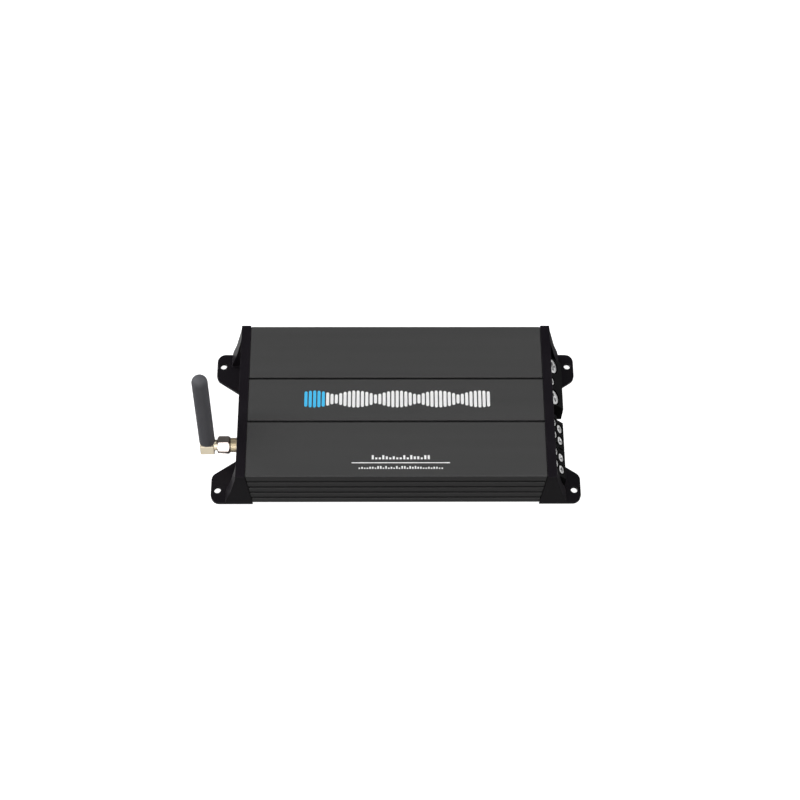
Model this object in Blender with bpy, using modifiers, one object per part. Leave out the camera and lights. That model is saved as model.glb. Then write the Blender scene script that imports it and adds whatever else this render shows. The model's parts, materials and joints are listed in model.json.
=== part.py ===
"""A compact four-channel car amplifier: an extruded heat sink between two end frames, with its terminals,
controls, stub antenna and the electronics inside.

Metres, +Z up. The origin is the centre of the underside, +X is the terminal end, -Y is the front."""

import math

import bmesh
import bpy
from mathutils import Matrix, Vector

GAP = 0.0003  # between pieces that touch
OVERRUN = 0.002  # how far a cutter passes the face it cuts

# Heat sink extrusion
SINK_HALF_LENGTH = 0.0922
SINK_HALF_DEPTH = 0.0511
SINK_TOP = 0.0419
SINK_BOTTOM = 0.0006
SINK_TOP_WALL = 0.0049
SINK_SIDE_WALL = 0.004
SINK_SHOULDER = 0.0007  # radius along the top front and rear edges
SINK_SKIRT = 0.0022  # height at which the walls start to slope in to the bottom edge
END_HALF_DEPTH = 0.0501  # where the ends are milled down to sit in the frames
END_TOP = 0.041
TOP_GROOVE_Y = 0.0146
TOP_GROOVE_WIDTH = 0.0014
TOP_GROOVE_DEPTH = 0.0018
SIDE_GROOVE_TOP = 0.0336
SIDE_GROOVE_PITCH = 0.0081
SIDE_GROOVES = 4
SIDE_GROOVE_WIDTH = 0.0028
SIDE_GROOVE_DEPTH = 0.0022
BOSS_DEPTH = 0.004
BOSS_BOTTOM = 0.0018
BOSS_TOP = 0.008

# Bottom plate and the countersunk screws that hold it and the frames
PLATE_THICKNESS = BOSS_BOTTOM - GAP
FRAME_SCREW_X = 0.0906
PLATE_SCREW_X = 0.06
BASE_SCREW_Y = 0.0451
BASE_SCREW_HEAD_RADIUS = 0.0021
BASE_SCREW_RADIUS = 0.0011
BASE_SCREW_END = 0.0065

# End frames
FRAME_TOP = 0.0422
FRAME_HALF_DEPTH = 0.0516
RIM_INNER_TOP_X = 0.0905
RIM_INNER_BASE_X = 0.0889
RIM_OUTER_X = 0.0962
FRAME_FLARE = ((0.0973, 0.0354), (0.1000, 0.0237), (0.1019, 0.0158), (0.1045, 0.0075), (0.1055, 0.003))
FRAME_EDGE = 0.0005
POST_INNER_Y = 0.0431
WINDOW_TOP = 0.035
SILL_X = 0.097
FOOT_THICKNESS = 0.003
EAR_X = 0.115
EAR_NECK_Y = 0.0213
EAR_TAPER = (0.1008, 0.0242)
EAR_CORNER = 0.0052
EAR_BEND_Y = 0.0365  # centre of the bend from the ear's outer edge to its taper
EAR_BEND_ANGLE = 58
EAR_ROOT = 0.003  # how far an ear runs under the rim
EAR_HOLE = (0.111, 0.0432)
EAR_HOLE_RADIUS = 0.00215

# End panels
PANEL_OUTER_X = 0.0885
PANEL_THICKNESS = 0.0015

# Terminal blocks, on the right end: every block passes through the panel to the main board
BLOCK_REAR_X = 0.08
BLOCK_BASE = 0.0035
BOARD_BOTTOM = BOSS_TOP + GAP
BOARD_TOP = BOARD_BOTTOM + 0.0016
ABOVE_BOARD = BOARD_TOP + GAP
POWER_BLOCK_Y = (0.0048, 0.0376)
POWER_NOSE_X = 0.1052
POWER_NOSE_TOP = 0.018
POWER_BACK = (0.0953, 0.0296)
POWER_TOP = 0.033
SPEAKER_BLOCKS_Y = {"front": (-0.0427, -0.0241), "rear": (-0.0233, -0.0047)}
SPEAKER_NOSE_X = 0.1044
SPEAKER_NOSE_TOP = 0.018
SPEAKER_STEP = (0.0994, 0.0239)
SPEAKER_DECK = 0.0288
SPEAKER_BACK = (0.0952, 0.0338)
SPEAKER_SCREW_INSET = 0.0053  # from a block's side to its screws
WIRE_Z = 0.0098
POWER_WIRE_RADIUS = 0.0042
POWER_WIRE_DEPTH = 0.011
SMALL_WIRE_WIDTH = 0.0048
SMALL_WIRE_DEPTH = 0.0065
UPPER_WIRE_HEIGHT = 0.0034

# Terminal screws: head radius, head height, shank radius, length
POWER_SCREW = (0.00485, 0.0034, 0.0025, 0.0095)
SMALL_SCREW = (0.0027, 0.0018, 0.0015, 0.0062)
SCREW_SINK = 0.0003  # a head's top lies this far below the slope
CROSS_ARMS = ((0.62, 0.14), (0.14, 0.62))  # a cross recess's two arms, as shares of the head's radius
CROSS_DEPTH = 0.55  # of the head's height
POWER_SCREW_Y = {"ground_screw": 0.0101, "battery_screw": 0.032}
POWER_SCREW_Z = 0.025
REMOTE_SCREW_Y = 0.0208
REMOTE_SCREW_Z = 0.0264

# Blade fuse and its holder, between the blocks
FUSE_Z = (0.0105, 0.0285)
FUSE_HALF_THICKNESS = 0.0024
FUSE_X = (0.0915, 0.0975)
FUSE_EDGE = 0.0008
FUSE_BLADE_X = 0.0835
FUSE_BLADE_WIDTH = 0.005
FUSE_BLADE_INSET = 0.0016
FUSE_BLADE_HALF_THICKNESS = 0.0004
HOLDER_X = (0.0822, 0.0912)
HOLDER_HALF_WIDTH = 0.0039
HOLDER_TOP = 0.0296

# Antenna, on the left end: it swivels on the connector's axis
ANTENNA_Y = -0.0226
ANTENNA_Z = 0.025
CONNECTOR_REAR_X = -0.0849
CONNECTOR_FLANGE_X = -0.0888
CONNECTOR_BODY_X = -0.1016
CONNECTOR_TIP_X = -0.1061
CONNECTOR_FLANGE = (0.0056, 0.0014)  # radius, thickness
CONNECTOR_BODY_RADIUS = 0.0045
CONNECTOR_THREAD_RADIUS = 0.0031
CONNECTOR_SOCKET = (0.0021, 0.002)  # radius, depth
NUT_X = (-0.1094, -0.1019)
NUT_FLATS = 0.0098
NUT_CHAMFER = 0.0006
NUT_TURN = math.radians(-21)
NECK_END_X = -0.1064
ELBOW_X = -0.1157
NECK_STEPS = ((NECK_END_X, -0.1105, 0.0031), (-0.1097, ELBOW_X, 0.0033))  # start x, end x, radius
ELBOW_SIDE = 0.0086
ELBOW_DROP = 0.0041
ELBOW_EDGE = 0.0005
STUB = (0.003, 0.006)  # the elbow's end inside the sleeve: radius, length
SLEEVE_START = 0.0033
SLEEVE_EDGE = 0.0004
SLEEVE_RADIUS = 0.0048
SLEEVE_DOME = 0.056
ANTENNA_LEAN = math.radians(16.5)

# Controls, on the left end: (y, z) on the panel
KNOB_RADIUS = 0.0032
KNOB_SHAFT_RADIUS = 0.0015
KNOB_EDGE = 0.0004
KNOB_SLOT = (0.00045, 0.0014)  # half width, depth
KNOB_TIP_X = -0.0938
KNOBS = {
    "gain_knob_front": (-0.036, 0.0115),
    "gain_knob_rear": (-0.024, 0.0115),
    "low_pass_knob": (-0.012, 0.0115),
    "high_pass_knob": (0.0, 0.0115),
    "bass_boost_knob": (0.006, 0.025),
}
SWITCHES = {"crossover_switch_front": (-0.0365, 0.025), "crossover_switch_rear": (-0.0075, 0.025)}
SWITCH_TRAVEL = 0.0025
SWITCH_LENGTH = 0.003
SWITCH_HEIGHT = 0.0022
SWITCH_TIP_X = -0.0925
SWITCH_EDGE = 0.0003
LED = (0.0095, 0.0115)
LED_RADIUS = 0.0015
LED_REACH = 0.0012  # past the panel

# Phono sockets, on the left end
SOCKETS_Y = (0.02, 0.034)
SOCKETS_Z = (0.0175, 0.0285)
SOCKET_RADIUS = 0.0042
SOCKET_BORE = 0.0034
SOCKET_TIP_X = -0.0958
SOCKET_CORE_TIP_X = -0.0932
SOCKET_FLANGE = (0.0051, 0.0008)  # radius, thickness
SOCKET_BLOCK_MARGIN = 0.0065  # from the sockets' centres to the sides of their block
SOCKET_PIN_RADIUS = 0.0016
SOCKET_BLOCK_X = (-0.0867, -0.076)

# Electronics
CONTROL_BOARD_X = (-0.0846, -0.083)
MAIN_BOARD_X = (-0.0815, 0.0867)
BOARD_HALF_DEPTH = 0.0466
CONTROL_BOARD_Y = (-0.0415, 0.0125)
CONTROL_BOARD_TOP = 0.034
WIRELESS_BOARD_X = (-0.076, -0.05)
WIRELESS_BOARD_Y = (-0.0338, -0.0322)
WIRELESS_BOARD_TOP = 0.03
TRANSISTORS_X = (-0.048, -0.016, 0.016, 0.048)
TRANSISTOR_BODY = (0.0102, 0.0044, 0.0152)
TRANSISTOR_Z = 0.013
LEGS_INSET = 0.002  # from a transistor's sides to its legs
LEGS_BACK = (0.0026, 0.0018)  # distances from the wall to the legs
CLAMP_THICKNESS = 0.002
CLAMP_HALF_HEIGHT = 0.003
CAPACITOR_RADIUS = 0.0085
CAPACITOR_TOP = 0.0355
CAPACITOR_EDGE = 0.0008
CAPACITORS_X = (0.004, 0.026)
CAPACITOR_Y = 0.012
TOROID_PLACE = (-0.03, 0.006)
TOROID_RADIUS = 0.012
TOROID_THICKNESS = 0.0052
INDUCTOR_PLACE = (0.052, -0.02)
INDUCTOR_RADIUS = 0.008
INDUCTOR_CORE_RADIUS = 0.0062
INDUCTOR_TOP = 0.022
INDUCTOR_FLANGE = 0.0021

LARGE_SIDES = 24
SMALL_SIDES = 14
SHELL_SIDES = 18
HOLE_SIDES = 12

# Looks: colour, roughness, metallic
BLACK_GLOSS = ((0.011, 0.0095, 0.0125), 0.28, 0.0)
ANODISED = ((0.058, 0.058, 0.058), 0.5, 0.35)
BLACK_PLASTIC = ((0.012, 0.012, 0.012), 0.45, 0.0)
STEEL = ((0.62, 0.61, 0.6), 0.28, 1.0)
DARK_STEEL = ((0.03, 0.03, 0.03), 0.5, 0.6)
NICKEL = ((0.66, 0.62, 0.55), 0.22, 1.0)
GOLD = ((0.83, 0.66, 0.36), 0.25, 1.0)
PALE_GOLD = ((0.85, 0.8, 0.62), 0.3, 1.0)
BARE_ALUMINIUM = ((0.5, 0.5, 0.5), 0.4, 1.0)
RUBBER = ((0.085, 0.085, 0.095), 0.6, 0.0)
AMBER = ((0.75, 0.3, 0.03), 0.3, 0.0)
BLUE_LENS = ((0.05, 0.2, 0.8), 0.15, 0.0)
GREEN_BOARD = ((0.02, 0.12, 0.04), 0.4, 0.0)
BLUE_BOARD = ((0.01, 0.03, 0.14), 0.4, 0.0)
SLEEVED_CAN = ((0.015, 0.02, 0.06), 0.35, 0.0)
ENAMELLED_WIRE = ((0.45, 0.16, 0.05), 0.35, 0.6)
FERRITE = ((0.03, 0.03, 0.03), 0.6, 0.0)


def clear_scene():
    for obj in list(bpy.data.objects):
        bpy.data.objects.remove(obj, do_unlink=True)


def new_collection(name):
    collection = bpy.data.collections.new(name)
    bpy.context.scene.collection.children.link(collection)
    return collection


def give_material(obj, look):
    colour, roughness, metallic = look
    material = bpy.data.materials.new(obj.name)
    material.use_nodes = True
    shader = material.node_tree.nodes["Principled BSDF"]
    shader.inputs["Base Color"].default_value = (*colour, 1.0)
    shader.inputs["Roughness"].default_value = roughness
    shader.inputs["Metallic"].default_value = metallic
    obj.data.materials.append(material)


def as_part(obj, look):
    PARTS.objects.link(obj)
    give_material(obj, look)
    return obj


def as_tool(obj):
    """Puts a cutter, or a piece that is joined to another, out of sight."""
    TOOLS.objects.link(obj)
    obj.hide_render = True
    obj.display_type = "WIRE"
    return obj


def combine(obj, tool, operation):
    modifier = obj.modifiers.new(tool.name, "BOOLEAN")
    modifier.object = as_tool(tool)
    modifier.operation = operation
    modifier.solver = "EXACT"
    return obj


def cut(obj, *tools):
    for tool in tools:
        combine(obj, tool, "DIFFERENCE")
    return obj


def join(obj, *tools):
    for tool in tools:
        combine(obj, tool, "UNION")
    return obj


def mesh_object(name, mesh_bm, origin=(0, 0, 0)):
    bmesh.ops.recalc_face_normals(mesh_bm, faces=mesh_bm.faces)
    mesh = bpy.data.meshes.new(name)
    mesh_bm.to_mesh(mesh)
    mesh_bm.free()
    mesh.transform(Matrix.Translation(-Vector(origin)))
    obj = bpy.data.objects.new(name, mesh)
    obj.location = origin
    return obj


def box(name, low, high, origin=(0, 0, 0)):
    low = Vector(low)
    high = Vector(high)
    mesh_bm = bmesh.new()
    bmesh.ops.create_cube(mesh_bm, size=1)
    bmesh.ops.scale(mesh_bm, vec=high - low, verts=mesh_bm.verts)
    bmesh.ops.translate(mesh_bm, vec=(low + high) / 2, verts=mesh_bm.verts)
    return mesh_object(name, mesh_bm, origin)


def rod(name, start, end, radius, sides=SMALL_SIDES):
    """A cylinder from one point to another."""
    start = Vector(start)
    along = Vector(end) - start
    mesh_bm = bmesh.new()
    bmesh.ops.create_cone(
        mesh_bm, cap_ends=True, segments=sides, radius1=radius, radius2=radius, depth=along.length
    )
    turn = along.to_track_quat("Z", "Y").to_matrix().to_4x4()
    place = Matrix.Translation(start + along / 2) @ turn
    bmesh.ops.transform(mesh_bm, matrix=place, verts=mesh_bm.verts)
    return mesh_object(name, mesh_bm)


def arc(centre, radius, start, end, steps):
    """Points along an arc, from one angle to another in degrees."""
    angles = [math.radians(start + (end - start) * i / steps) for i in range(steps + 1)]
    return [(centre[0] + radius * math.cos(a), centre[1] + radius * math.sin(a)) for a in angles]


def circle(centre, radius, sides=SMALL_SIDES):
    return arc(centre, radius, 0, 360, sides)[:-1]


def rectangle(low, high):
    return [low, (high[0], low[1]), high, (low[0], high[1])]


def prism(name, outlines, axis, low, high):
    """Closed outlines, the later ones being holes, stretched along an axis from low to high.

    An outline's points are (y, z) for axis X, (x, z) for axis Y and (x, y) for axis Z."""
    curve = bpy.data.curves.new(name, "CURVE")
    curve.dimensions = "2D"
    curve.fill_mode = "BOTH"
    curve.extrude = (high - low) / 2
    for outline in outlines:
        spline = curve.splines.new("POLY")
        spline.points.add(len(outline) - 1)
        for point, (u, v) in zip(spline.points, outline):
            point.co = (u, v, 0, 1)
        spline.use_cyclic_u = True
    helper = bpy.data.objects.new(name + "_outline", curve)
    bpy.context.scene.collection.objects.link(helper)
    mesh = bpy.data.meshes.new_from_object(helper.evaluated_get(bpy.context.evaluated_depsgraph_get()))
    bpy.data.objects.remove(helper, do_unlink=True)
    bpy.data.curves.remove(curve)
    mesh_bm = bmesh.new()
    mesh_bm.from_mesh(mesh)
    bpy.data.meshes.remove(mesh)
    bmesh.ops.remove_doubles(mesh_bm, verts=mesh_bm.verts, dist=1e-7)
    middle = (low + high) / 2
    columns = {
        "X": ((0, 1, 0), (0, 0, 1), (1, 0, 0)),
        "Y": ((1, 0, 0), (0, 0, 1), (0, -1, 0)),
        "Z": ((1, 0, 0), (0, 1, 0), (0, 0, 1)),
    }[axis]
    turn = Matrix(columns).transposed().to_4x4()
    shift = Vector(columns[2]) * (middle if axis != "Y" else -middle)
    bmesh.ops.transform(mesh_bm, matrix=Matrix.Translation(shift) @ turn, verts=mesh_bm.verts)
    return mesh_object(name, mesh_bm)


def turned(name, profile, origin, axis=(0, 0, 1), steps=SMALL_SIDES):
    """A profile of (radius, height), outer side from top to bottom, turned round an axis through origin."""
    mesh = bpy.data.meshes.new(name)
    edges = [(i, i + 1) for i in range(len(profile) - 1)]
    mesh.from_pydata([(radius, 0, height) for radius, height in profile], edges, [])
    obj = bpy.data.objects.new(name, mesh)
    obj.matrix_world = Matrix.Translation(origin) @ Vector(axis).to_track_quat("Z", "Y").to_matrix().to_4x4()
    screw = obj.modifiers.new("Turn", "SCREW")
    screw.steps = steps
    screw.render_steps = steps
    screw.use_merge_vertices = True
    screw.merge_threshold = 1e-6
    screw.use_smooth_shade = True
    return obj


def bevelled(obj, width, segments=1):
    bevel = obj.modifiers.new("Edges", "BEVEL")
    bevel.width = width
    bevel.segments = segments
    bevel.limit_method = "ANGLE"
    bevel.angle_limit = math.radians(30)
    return obj


def slope_normal(low, high):
    """The outward normal, in the XZ plane, of a slope from its low outer edge to its high inner edge."""
    along = Vector((high[0] - low[0], 0, high[1] - low[1])).normalized()
    return Vector((along.z, 0, -along.x))


def slope_point(low, high, height):
    """The X of a slope's face at a height."""
    return low[0] + (high[0] - low[0]) * (height - low[1]) / (high[1] - low[1])


# Casing


def sink_half_outline():
    """The extrusion's section for y > 0, from the middle of its top round to the middle of its ceiling."""
    half_groove = TOP_GROOVE_WIDTH / 2
    points = [
        (TOP_GROOVE_Y - half_groove, SINK_TOP),
        (TOP_GROOVE_Y - half_groove, SINK_TOP - TOP_GROOVE_DEPTH),
        (TOP_GROOVE_Y + half_groove, SINK_TOP - TOP_GROOVE_DEPTH),
        (TOP_GROOVE_Y + half_groove, SINK_TOP),
    ]
    corner = (SINK_HALF_DEPTH - SINK_SHOULDER, SINK_TOP - SINK_SHOULDER)
    points += arc(corner, SINK_SHOULDER, 90, 0, 3)
    half_groove = SIDE_GROOVE_WIDTH / 2
    for i in range(SIDE_GROOVES):
        height = SIDE_GROOVE_TOP - i * SIDE_GROOVE_PITCH
        floor = SINK_HALF_DEPTH - SIDE_GROOVE_DEPTH
        points += [
            (SINK_HALF_DEPTH, height + half_groove),
            (floor, height + half_groove / 3),
            (floor, height - half_groove / 3),
            (SINK_HALF_DEPTH, height - half_groove),
        ]
    inner = SINK_HALF_DEPTH - SINK_SIDE_WALL
    return points + [
        (SINK_HALF_DEPTH, SINK_SKIRT),
        (END_HALF_DEPTH, SINK_BOTTOM),
        (inner, SINK_BOTTOM),
        (inner, BOSS_BOTTOM),
        (inner - BOSS_DEPTH, BOSS_BOTTOM),
        (inner - BOSS_DEPTH, BOSS_TOP),
        (inner, BOSS_TOP),
        (inner, SINK_TOP - SINK_TOP_WALL),
    ]


def base_screw_places():
    return [
        (x * side, y)
        for x in (FRAME_SCREW_X, PLATE_SCREW_X)
        for side in (-1, 1)
        for y in (-BASE_SCREW_Y, BASE_SCREW_Y)
    ]


def mill_end(sink, side):
    """Lowers the front, rear and top of one end, up to the slanted inner edge of its frame."""
    end = SINK_HALF_LENGTH + OVERRUN
    outline = [
        (RIM_INNER_BASE_X - GAP, -OVERRUN),
        (RIM_INNER_TOP_X - GAP, SINK_TOP + OVERRUN),
        (end, SINK_TOP + OVERRUN),
        (end, -OVERRUN),
    ]
    outline = [(x * side, z) for x, z in outline]
    outside = SINK_HALF_DEPTH + OVERRUN
    cut(sink, prism(f"mill_rear_{side}", [outline], "Y", END_HALF_DEPTH, outside))
    cut(sink, prism(f"mill_front_{side}", [outline], "Y", -outside, -END_HALF_DEPTH))
    span = sorted((side * (RIM_INNER_TOP_X - GAP), side * end))
    top = rectangle((-outside, END_TOP), (outside, SINK_TOP + OVERRUN))
    cut(sink, prism(f"mill_top_{side}", [top], "X", *span))


def make_heatsink():
    half = sink_half_outline()
    outline = half + [(-y, z) for y, z in reversed(half)]
    sink = prism("heatsink", [outline], "X", -SINK_HALF_LENGTH, SINK_HALF_LENGTH)
    for side in (-1, 1):
        mill_end(sink, side)
    for i, (x, y) in enumerate(base_screw_places()):
        start = (x, y, BOSS_BOTTOM - OVERRUN)
        end = (x, y, BASE_SCREW_END + GAP)
        cut(sink, rod(f"boss_hole_{i}", start, end, BASE_SCREW_RADIUS + GAP))
    return as_part(sink, ANODISED)


def countersink(name, x, y, grow):
    """The shape of a countersunk screw's head and neck, grown for its seat."""
    radius = BASE_SCREW_HEAD_RADIUS + grow
    profile = [
        (0, PLATE_THICKNESS + OVERRUN),
        (BASE_SCREW_RADIUS + grow, PLATE_THICKNESS + OVERRUN),
        (BASE_SCREW_RADIUS + grow, radius - BASE_SCREW_RADIUS - grow),
        (radius, 0),
        (radius, -OVERRUN),
        (0, -OVERRUN),
    ]
    return turned(name, profile, (x, y, 0))


def make_bottom_plate():
    half_depth = SINK_HALF_DEPTH - SINK_SIDE_WALL - GAP
    half_length = RIM_INNER_BASE_X - GAP
    plate = box("bottom_plate", (-half_length, -half_depth, 0), (half_length, half_depth, PLATE_THICKNESS))
    for i, (x, y) in enumerate(base_screw_places()):
        if abs(x) < half_length:
            cut(plate, countersink(f"plate_seat_{i}", x, y, GAP))
    return as_part(plate, DARK_STEEL)


def make_base_screws():
    shoulder = BASE_SCREW_HEAD_RADIUS - BASE_SCREW_RADIUS
    profile = [
        (0, BASE_SCREW_END),
        (BASE_SCREW_RADIUS, BASE_SCREW_END),
        (BASE_SCREW_RADIUS, shoulder),
        (BASE_SCREW_HEAD_RADIUS, GAP),
        (0, GAP),
    ]
    for i, (x, y) in enumerate(base_screw_places()):
        holds = "frame" if abs(x) > PLATE_SCREW_X else "plate"
        name = f"{holds}_screw_{i % 4 + 1}"
        screw = turned(name, profile, (x, y, 0), steps=12)
        for arm, (long, wide) in enumerate(CROSS_ARMS):
            reach = Vector((BASE_SCREW_HEAD_RADIUS * long, BASE_SCREW_HEAD_RADIUS * wide, 0))
            low = Vector((x, y, -OVERRUN)) - reach
            high = Vector((x, y, shoulder * CROSS_DEPTH + GAP)) + reach
            cut(screw, box(f"{name}_slot_{arm}", low, high))
        as_part(screw, STEEL)


def ear_outline(side, end):
    """One mounting ear seen from above, with rounded corners; side is the sign of x and end the sign of y."""
    centre = (EAR_X - EAR_CORNER, FRAME_HALF_DEPTH - EAR_CORNER)
    points = [(RIM_OUTER_X - EAR_ROOT, FRAME_HALF_DEPTH)]
    points += arc(centre, EAR_CORNER, 90, 0, 5)
    points += arc((EAR_X - EAR_CORNER, EAR_BEND_Y), EAR_CORNER, 0, -EAR_BEND_ANGLE, 4)
    points += [EAR_TAPER, (RIM_OUTER_X, EAR_NECK_Y), (RIM_OUTER_X - EAR_ROOT, EAR_NECK_Y)]
    return [(x * side, y * end) for x, y in points]


def make_end_frame(name, side):
    profile = [
        (RIM_INNER_BASE_X, 0),
        (RIM_INNER_TOP_X, FRAME_TOP),
        (RIM_OUTER_X, FRAME_TOP),
        *FRAME_FLARE,
        (FRAME_FLARE[-1][0], 0),
    ]
    profile = [(x * side, z) for x, z in profile]
    frame = bevelled(prism(name, [profile], "Y", -FRAME_HALF_DEPTH, FRAME_HALF_DEPTH), FRAME_EDGE)
    outer = END_HALF_DEPTH + GAP
    inner = SINK_HALF_DEPTH - SINK_SIDE_WALL - GAP
    boss = inner - BOSS_DEPTH
    half = [
        (outer, END_TOP + GAP),
        (outer, -OVERRUN),
        (inner, -OVERRUN),
        (inner, BOSS_BOTTOM - GAP),
        (boss, BOSS_BOTTOM - GAP),
        (boss, BOSS_TOP + GAP),
        (inner, BOSS_TOP + GAP),
        (inner, SINK_TOP - SINK_TOP_WALL - GAP),
    ]
    seat = half + [(-y, z) for y, z in reversed(half)]
    span = sorted((side * (RIM_INNER_BASE_X - OVERRUN), side * (SINK_HALF_LENGTH + GAP)))
    cut(frame, prism(name + "_sink_seat", [seat], "X", *span))
    span = sorted((side * (RIM_INNER_BASE_X - OVERRUN), side * (EAR_X + OVERRUN)))
    window = rectangle((-POST_INNER_Y, FOOT_THICKNESS), (POST_INNER_Y, WINDOW_TOP))
    cut(frame, prism(name + "_window", [window], "X", *span))
    for level, start, low, high in (
        ("recess", RIM_OUTER_X, FOOT_THICKNESS, FRAME_TOP + OVERRUN),
        ("sill_edge", SILL_X, -OVERRUN, FOOT_THICKNESS + OVERRUN),
    ):
        span = sorted((side * start, side * (EAR_X + OVERRUN)))
        opening = rectangle((-POST_INNER_Y, low), (POST_INNER_Y, high))
        cut(frame, prism(f"{name}_{level}", [opening], "X", *span))
    for end in (-1, 1):
        hole = circle((EAR_HOLE[0] * side, EAR_HOLE[1] * end), EAR_HOLE_RADIUS)
        ear = prism(f"{name}_ear_{end}", [ear_outline(side, end), hole], "Z", 0, FOOT_THICKNESS)
        join(frame, ear)
    for i, (x, y) in enumerate(base_screw_places()):
        if x * side > PLATE_SCREW_X:
            cut(frame, countersink(f"{name}_seat_{i}", x, y, GAP))
    return as_part(frame, BLACK_GLOSS)


def panel_outline():
    """An end panel's edge, notched round the extrusion's screw bosses."""
    half = SINK_HALF_DEPTH - SINK_SIDE_WALL - GAP
    notch = half - BOSS_DEPTH
    top = SINK_TOP - SINK_TOP_WALL - GAP
    points = [(half, top), (half, BOSS_TOP + GAP), (notch, BOSS_TOP + GAP), (notch, BOSS_BOTTOM)]
    return points + [(-y, z) for y, z in reversed(points)]


def grown_rectangle(low, high):
    return rectangle((low[0] - GAP, low[1] - GAP), (high[0] + GAP, high[1] + GAP))


def make_panels():
    passing = [(POWER_BLOCK_Y, POWER_TOP), ((-HOLDER_HALF_WIDTH, HOLDER_HALF_WIDTH), HOLDER_TOP)]
    passing += [(spread, SPEAKER_BACK[1]) for spread in SPEAKER_BLOCKS_Y.values()]
    openings = [grown_rectangle((spread[0], ABOVE_BOARD), (spread[1], top)) for spread, top in passing]
    outlines = [panel_outline(), *openings]
    panel = prism("right_panel", outlines, "X", PANEL_OUTER_X - PANEL_THICKNESS, PANEL_OUTER_X)
    as_part(panel, BLACK_PLASTIC)

    holes = [circle((ANTENNA_Y, ANTENNA_Z), CONNECTOR_THREAD_RADIUS + GAP)]
    holes += [circle(place, KNOB_SHAFT_RADIUS + GAP, HOLE_SIDES) for place in KNOBS.values()]
    holes.append(circle(LED, LED_RADIUS + GAP, HOLE_SIDES))
    for y, z in SWITCHES.values():
        reach = SWITCH_LENGTH / 2 + SWITCH_TRAVEL
        half_height = SWITCH_HEIGHT / 2
        holes.append(grown_rectangle((y - reach, z - half_height), (y + reach, z + half_height)))
    for y in SOCKETS_Y:
        holes += [circle((y, z), SOCKET_BORE) for z in SOCKETS_Z]
    outlines = [panel_outline(), *holes]
    panel = prism("left_panel", outlines, "X", -PANEL_OUTER_X, -PANEL_OUTER_X + PANEL_THICKNESS)
    as_part(panel, BLACK_PLASTIC)


# Terminals


def terminal_screw(name, place, normal, sizes, steps):
    """A slotted terminal screw with its head's top just under the slope."""
    radius, height, shank, length = sizes
    edge = radius * 0.1
    profile = [
        (0, 0),
        (radius - edge, 0),
        (radius, -edge),
        (radius, -height),
        (shank, -height),
        (shank, -length),
        (0, -length),
    ]
    top = Vector(place) - normal * SCREW_SINK
    screw = turned(name, profile, top, normal, steps)
    for i, (long, wide) in enumerate(CROSS_ARMS):
        low = (-radius * long, -radius * wide, -height * CROSS_DEPTH)
        slot = box(f"{name}_slot_{i}", low, (radius * long, radius * wide, OVERRUN))
        slot.matrix_world = screw.matrix_world
        cut(screw, slot)
    return as_part(screw, STEEL)


def screw_well(name, place, normal, sizes, steps):
    """The stepped hole that a terminal screw sits in."""
    radius, height, shank, length = sizes
    depth = height + SCREW_SINK + GAP
    profile = [
        (0, OVERRUN),
        (radius + GAP, OVERRUN),
        (radius + GAP, -depth),
        (shank + GAP, -depth),
        (shank + GAP, -length - SCREW_SINK - GAP),
        (0, -length - SCREW_SINK - GAP),
    ]
    return turned(name, profile, place, normal, steps)


def small_wire_hole(name, x, y, z, height):
    low = (x - SMALL_WIRE_DEPTH, y - SMALL_WIRE_WIDTH / 2, z - height / 2)
    return box(name, low, (x + OVERRUN, y + SMALL_WIRE_WIDTH / 2, z + height / 2))


def make_power_block():
    low = (POWER_NOSE_X, POWER_NOSE_TOP)
    profile = [
        (BLOCK_REAR_X, ABOVE_BOARD),
        (PANEL_OUTER_X + GAP, ABOVE_BOARD),
        (PANEL_OUTER_X + GAP, BLOCK_BASE),
        (POWER_NOSE_X, BLOCK_BASE),
        low,
        POWER_BACK,
        (POWER_BACK[0], POWER_TOP),
        (BLOCK_REAR_X, POWER_TOP),
    ]
    block = prism("power_terminal_block", [profile], "Y", *POWER_BLOCK_Y)
    normal = slope_normal(low, POWER_BACK)
    screws = {name: (y, POWER_SCREW_Z, POWER_SCREW, LARGE_SIDES) for name, y in POWER_SCREW_Y.items()}
    screws["remote_screw"] = (REMOTE_SCREW_Y, REMOTE_SCREW_Z, SMALL_SCREW, SMALL_SIDES)
    for name, (y, z, sizes, steps) in screws.items():
        place = Vector((slope_point(low, POWER_BACK, z), y, z))
        cut(block, screw_well(name + "_well", place, normal, sizes, steps))
        if sizes == POWER_SCREW:
            start = (POWER_NOSE_X + OVERRUN, y, WIRE_Z)
            end = (POWER_NOSE_X - POWER_WIRE_DEPTH, y, WIRE_Z)
            hole = rod(name + "_wire", start, end, POWER_WIRE_RADIUS, LARGE_SIDES)
        else:
            hole = small_wire_hole(name + "_wire", POWER_NOSE_X, y, WIRE_Z, SMALL_WIRE_WIDTH)
        cut(block, hole)
        terminal_screw(name, place, normal, sizes, steps)
    return as_part(block, BLACK_PLASTIC)


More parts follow.
